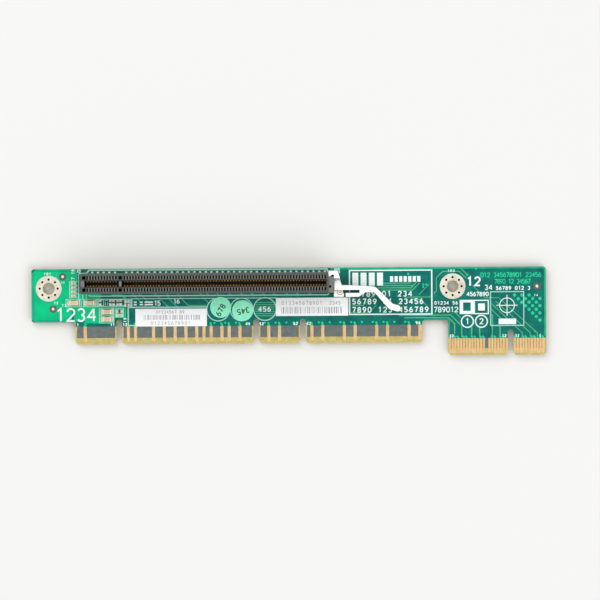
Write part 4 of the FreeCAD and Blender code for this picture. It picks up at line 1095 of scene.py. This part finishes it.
# Rows of bars on the white labels: left, right, top and bottom.
BAR_ROWS = ((39.6, 59.3, 16.4, 18.1), (88.1, 109.0, 13.9, 16.2))
BAR_WIDTHS = (0.16, 0.16, 0.3, 0.44)
BAR_GAPS = (0.2, 0.34, 0.34, 0.6)
LABEL_FIGURES = (
    *digits("01234567 89", 44.0, 14.85, 1.0, 0.92, 0.17),
    *digits("012345678901", 42.1, 18.75, 1.05, 1.2, 0.17),
    *digits("012345678901", 88.3, 11.9, 1.15, 1.22, 0.18),
    *digits("2345", 105.1, 11.9, 1.15, 1.05, 0.18),
)
STICKER_FIGURES = (
    *digits("678", 64.9, 16.2, 1.8, 1.55, 0.38, turn=62),
    *digits("345", 76.9, 15.6, 1.8, 1.55, 0.38, turn=192),
)


def make_labels():
    """Plain bars and figures on the white labels, and two round stickers with figures."""
    chance = random.Random(4)
    mesh = bmesh.new()
    for left, right, top, bottom in BAR_ROWS:
        x = left
        while x < right:
            width = chance.choice(BAR_WIDTHS)
            slab(mesh, oblong(x, top, x + width, bottom), PRINT_FOOT, PRINT_TOP)
            x += width + chance.choice(BAR_GAPS)
    draw(mesh, LABEL_FIGURES, PRINT_FOOT, PRINT_TOP)
    finished("label_print", mesh, PRINT)
    mesh = bmesh.new()
    draw(mesh, STICKER_FIGURES, PRINT_FOOT, PRINT_TOP)
    finished("sticker_print", mesh, MARKER)
    for side in ("left", "right"):
        low, high = (card_place(corner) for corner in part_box(f"sticker_{side}"))
        x, y, _ = middle(low, high)
        radius = (high[0] - low[0]) / 2
        mesh = bmesh.new()
        crowned(mesh, lambda inset: circle(x, y, radius - inset, 56), BURIED, LABEL_TOP, edge=0.12, drop=0.03)
        finished(f"round_sticker_{side}", mesh, STICKER, f"sticker_{side}")


# ---- latch

HUB_REACH = 0.6  # the post's top is the highest place of the base within this of the pivot
PIN_RADIUS = 0.36
HEAD_LENGTH = 1.4
HEAD_WIDTH = 0.84
HEAD_HEIGHTS = (0.05, 0.26)  # above the post's top


def make_pin_head():
    """The oval metal head that keeps the lever on its post, a hair above the lever's hub; its tan colour is
    painted shade for the white plastic round the pivot.
    """
    x, y, _ = card_place(Vector(frame["joints"][0]["pos_m"]))
    places = [card_place(vert.co) for vert in frame["nodes"]["latch_base"].data.vertices]
    top = max(rise for px, py, rise in places if math.dist((px, py), (x, y)) < HUB_REACH)

    def oval(inset):
        across, down = HEAD_LENGTH / 2 - inset, HEAD_WIDTH / 2 - inset
        return oblong(x - across, y - down, x + across, y + down, down, 8)

    mesh = bmesh.new()
    slab(mesh, circle(x, y, PIN_RADIUS, 20), top - 0.2, top + 0.1)
    low, high = (top + height for height in HEAD_HEIGHTS)
    crowned(mesh, oval, low, high, edge=0.12, drop=0.1)
    finished("latch_pin_head", mesh, PIN_HEAD_SHADE, smooth_angle=50)


def make_latch():
    """The white latch with eased edges; the lever rides on its own body."""
    make_pin_head()
    softened("moulded_latch_base", "latch_base", LATCH, 0.1, segments=3)
    softened("moulded_latch_lever", "latch_lever", LATCH, 0.12, body="lever", segments=3)


# ---- lower face

BACK_LINE = 0.25
BACK_BUNDLE = 7  # how many lines run from the wide fingers round to the narrow ones
BACK_PAD = 0.62
BACK_STUB_END = 19.4
NARROW_STUB_END = 24.5
TAIL_END = 9.4  # lines from the wide fingers end here, at the slot's tails
TAIL_BENDS = (13.0, 12.1)  # where they first turn, for every other line
BUNDLE_TOP = SHOULDER - 1.4
BUNDLE_PITCH = 0.8
# How a solder joint narrows: a share of its base radius at each share of its height.
CONE_PROFILE = ((1.0, 0.0), (0.98, 0.06), (0.72, 0.2), (0.5, 0.42), (0.36, 0.66), (0.3, 0.82), (0.24, 0.98))


def make_back_mask():
    """The mask on the lower face, the planes inside the wide tab and the pour at the left end."""
    mask, planes, pour = bmesh.new(), bmesh.new(), bmesh.new()
    layer(mask, mask_outline(), MASK_TOP, MASK_HOLES, back=True)
    draw_wide_planes(planes, back=True)
    layer(pour, POUR_OUTLINE, EDGE_POUR_TOP, [POUR_HOLE], foot=COPPER_FOOT, back=True)
    finished("back_solder_mask", mask, MASK)
    finished("back_inner_planes", planes, INNER_PLANE)
    finished("back_left_pour", pour, MASK_BRIGHT)


def make_back_traces():
    """Lines on the lower face, from the wide fingers up to the slot's tails and to the narrow fingers."""
    lines, stubs = bmesh.new(), bmesh.new()
    low, high = under(COPPER_TOP), under(COPPER_FOOT)
    wide, narrow = middles("wide_fingers_back"), middles("narrow_fingers_back")
    tails = middles("slot_contacts_upper")
    for x in wide:
        ribbon(stubs, [(x, WIDE_MASK_END + 0.1), (x, BACK_STUB_END)], WIDE_STUB, low, high)
        spot(stubs, x - 0.1, FINGER_VIA_DOWN, back=True)
    for x in narrow:
        ribbon(stubs, [(x, NARROW_MASK_END + 0.1), (x, NARROW_STUB_END)], NARROW_STUB, low, high)
    for number, x in enumerate(wide):
        tail = min(tails, key=lambda place: abs(place - x))
        if number % 3 != 1 and abs(tail - x) < 1.0:
            bend = TAIL_BENDS[number % 2]
            points = [(x, BACK_STUB_END), (x, bend), (tail, bend - abs(tail - x) - 0.3), (tail, TAIL_END)]
            ribbon(lines, points, BACK_LINE, low, high)
    turn = BUNDLE_PITCH
    for number, (x, after) in enumerate(zip(wide[: -BACK_BUNDLE - 1 : -1], narrow)):
        level = BUNDLE_TOP - BUNDLE_PITCH * number
        points = [(x, BACK_STUB_END), (x, level + turn), (x + turn, level)]
        points += [(after - turn, level), (after, level + turn)]
        ribbon(lines, [*points, (after, 24.6)], BACK_LINE, low, high)
    finished("back_traces", lines, MASK_ON_COPPER)
    finished("back_stubs_and_vias", stubs, MASK_MINT)


def make_solder_cones():
    """Concave solder joints round the ends of the contacts' tails, each on its ring of tin."""
    cones, pads = bmesh.new(), bmesh.new()
    for low, high in islands("solder_joints"):
        x, y, _ = middle(low, high)
        radius, drop = (high[0] - low[0]) / 2, high[2] - low[2]
        rings = []
        for share, fall in CONE_PROFILE:
            rings.append([(*place, under(drop * fall - 0.01)) for place in circle(x, y, radius * share, 10)])
        loft(cones, rings)
        layer(pads, circle(x, y, BACK_PAD, 16), COPPER_TOP, back=True)
    finished("solder_cones", cones, SOLDER, "solder_joints", smooth_angle=50)
    finished("back_solder_pads", pads, TIN)


# ---- stage


def make_floor():
    """A plain pale floor."""
    mesh = bmesh.new()
    bmesh.ops.create_grid(mesh, x_segments=1, y_segments=1, size=3)
    data = bpy.data.meshes.new("floor")
    mesh.to_mesh(data)
    mesh.free()
    floor = placed("floor", data)
    material, _ = principled("floor", (236, 236, 234), 0.7)
    data.materials.append(material)


# Each lamp's name, place and size in metres, and power in watts.
LAMPS = (("key", (-0.6, 0.8, 1.5), 1.5, 12.2), ("fill", (0.8, -0.8, 1.4), 1.5, 10.2))
SKY_STRENGTH = 0.65


def make_lights():
    """A soft key from the upper left, a weaker fill from the lower right and an even sky."""
    world = bpy.data.worlds.new("studio")
    bpy.context.scene.world = world
    world.use_nodes = True
    world.node_tree.nodes["Background"].inputs["Color"].default_value = (1, 1, 1, 1)
    world.node_tree.nodes["Background"].inputs["Strength"].default_value = SKY_STRENGTH
    for name, place, size, power in LAMPS:
        lamp = bpy.data.lights.new(name, "AREA")
        lamp.size = size
        lamp.energy = power
        light = placed(name, lamp)
        light.location = place
        light.rotation_euler = Vector(place).to_track_quat("Z", "Y").to_euler()


# The camera: the place that it looks at, its distance in metres, and its angles in degrees.
TARGET = (94.7, 11.4)
DISTANCE = 1.0
VIEW_ANGLE = 12.08
LEAN = 1.5
ROLL = -0.35


def make_camera():
    """The photograph's view: from a metre above the slot, leaning a little towards the top edge."""
    data = bpy.data.cameras.new("camera")
    data.angle = math.radians(VIEW_ANGLE)
    camera = placed("camera", data)
    lean = math.radians(LEAN)
    back = Vector((0, math.sin(lean), math.cos(lean)))
    across = Vector((0, 1, 0)).cross(back).normalized()
    turn = Matrix((across, back.cross(across), back)).transposed().to_4x4()
    place = Matrix.Translation(at(*TARGET) + back * DISTANCE)
    camera.matrix_world = place @ turn @ Matrix.Rotation(math.radians(ROLL), 4, "Z")
    bpy.context.scene.camera = camera


# CAD nodes that stay as they are, with their materials.
CARRIED_OVER = {"circuit_board": LAMINATE, "hold_down_tab": STEEL, "label_left": PAPER, "label_right": PAPER}
for name, material in CARRIED_OVER.items():
    for material_slot in frame["nodes"][name].material_slots:
        material_slot.material = material

make_front_mask()
make_pours()
make_traces()
make_ink()
make_inner_planes()
make_fingers()
make_mount_rings()
make_dots()
make_slot_housing()
make_contacts()
make_slot_inside()
make_slot_vias()
make_chips()
make_labels()
make_latch()
make_back_mask()
make_back_traces()
make_solder_cones()
make_floor()
make_lights()
make_camera()

bpy.context.scene.view_settings.view_transform = "Standard"
bpy.context.view_layer.update()
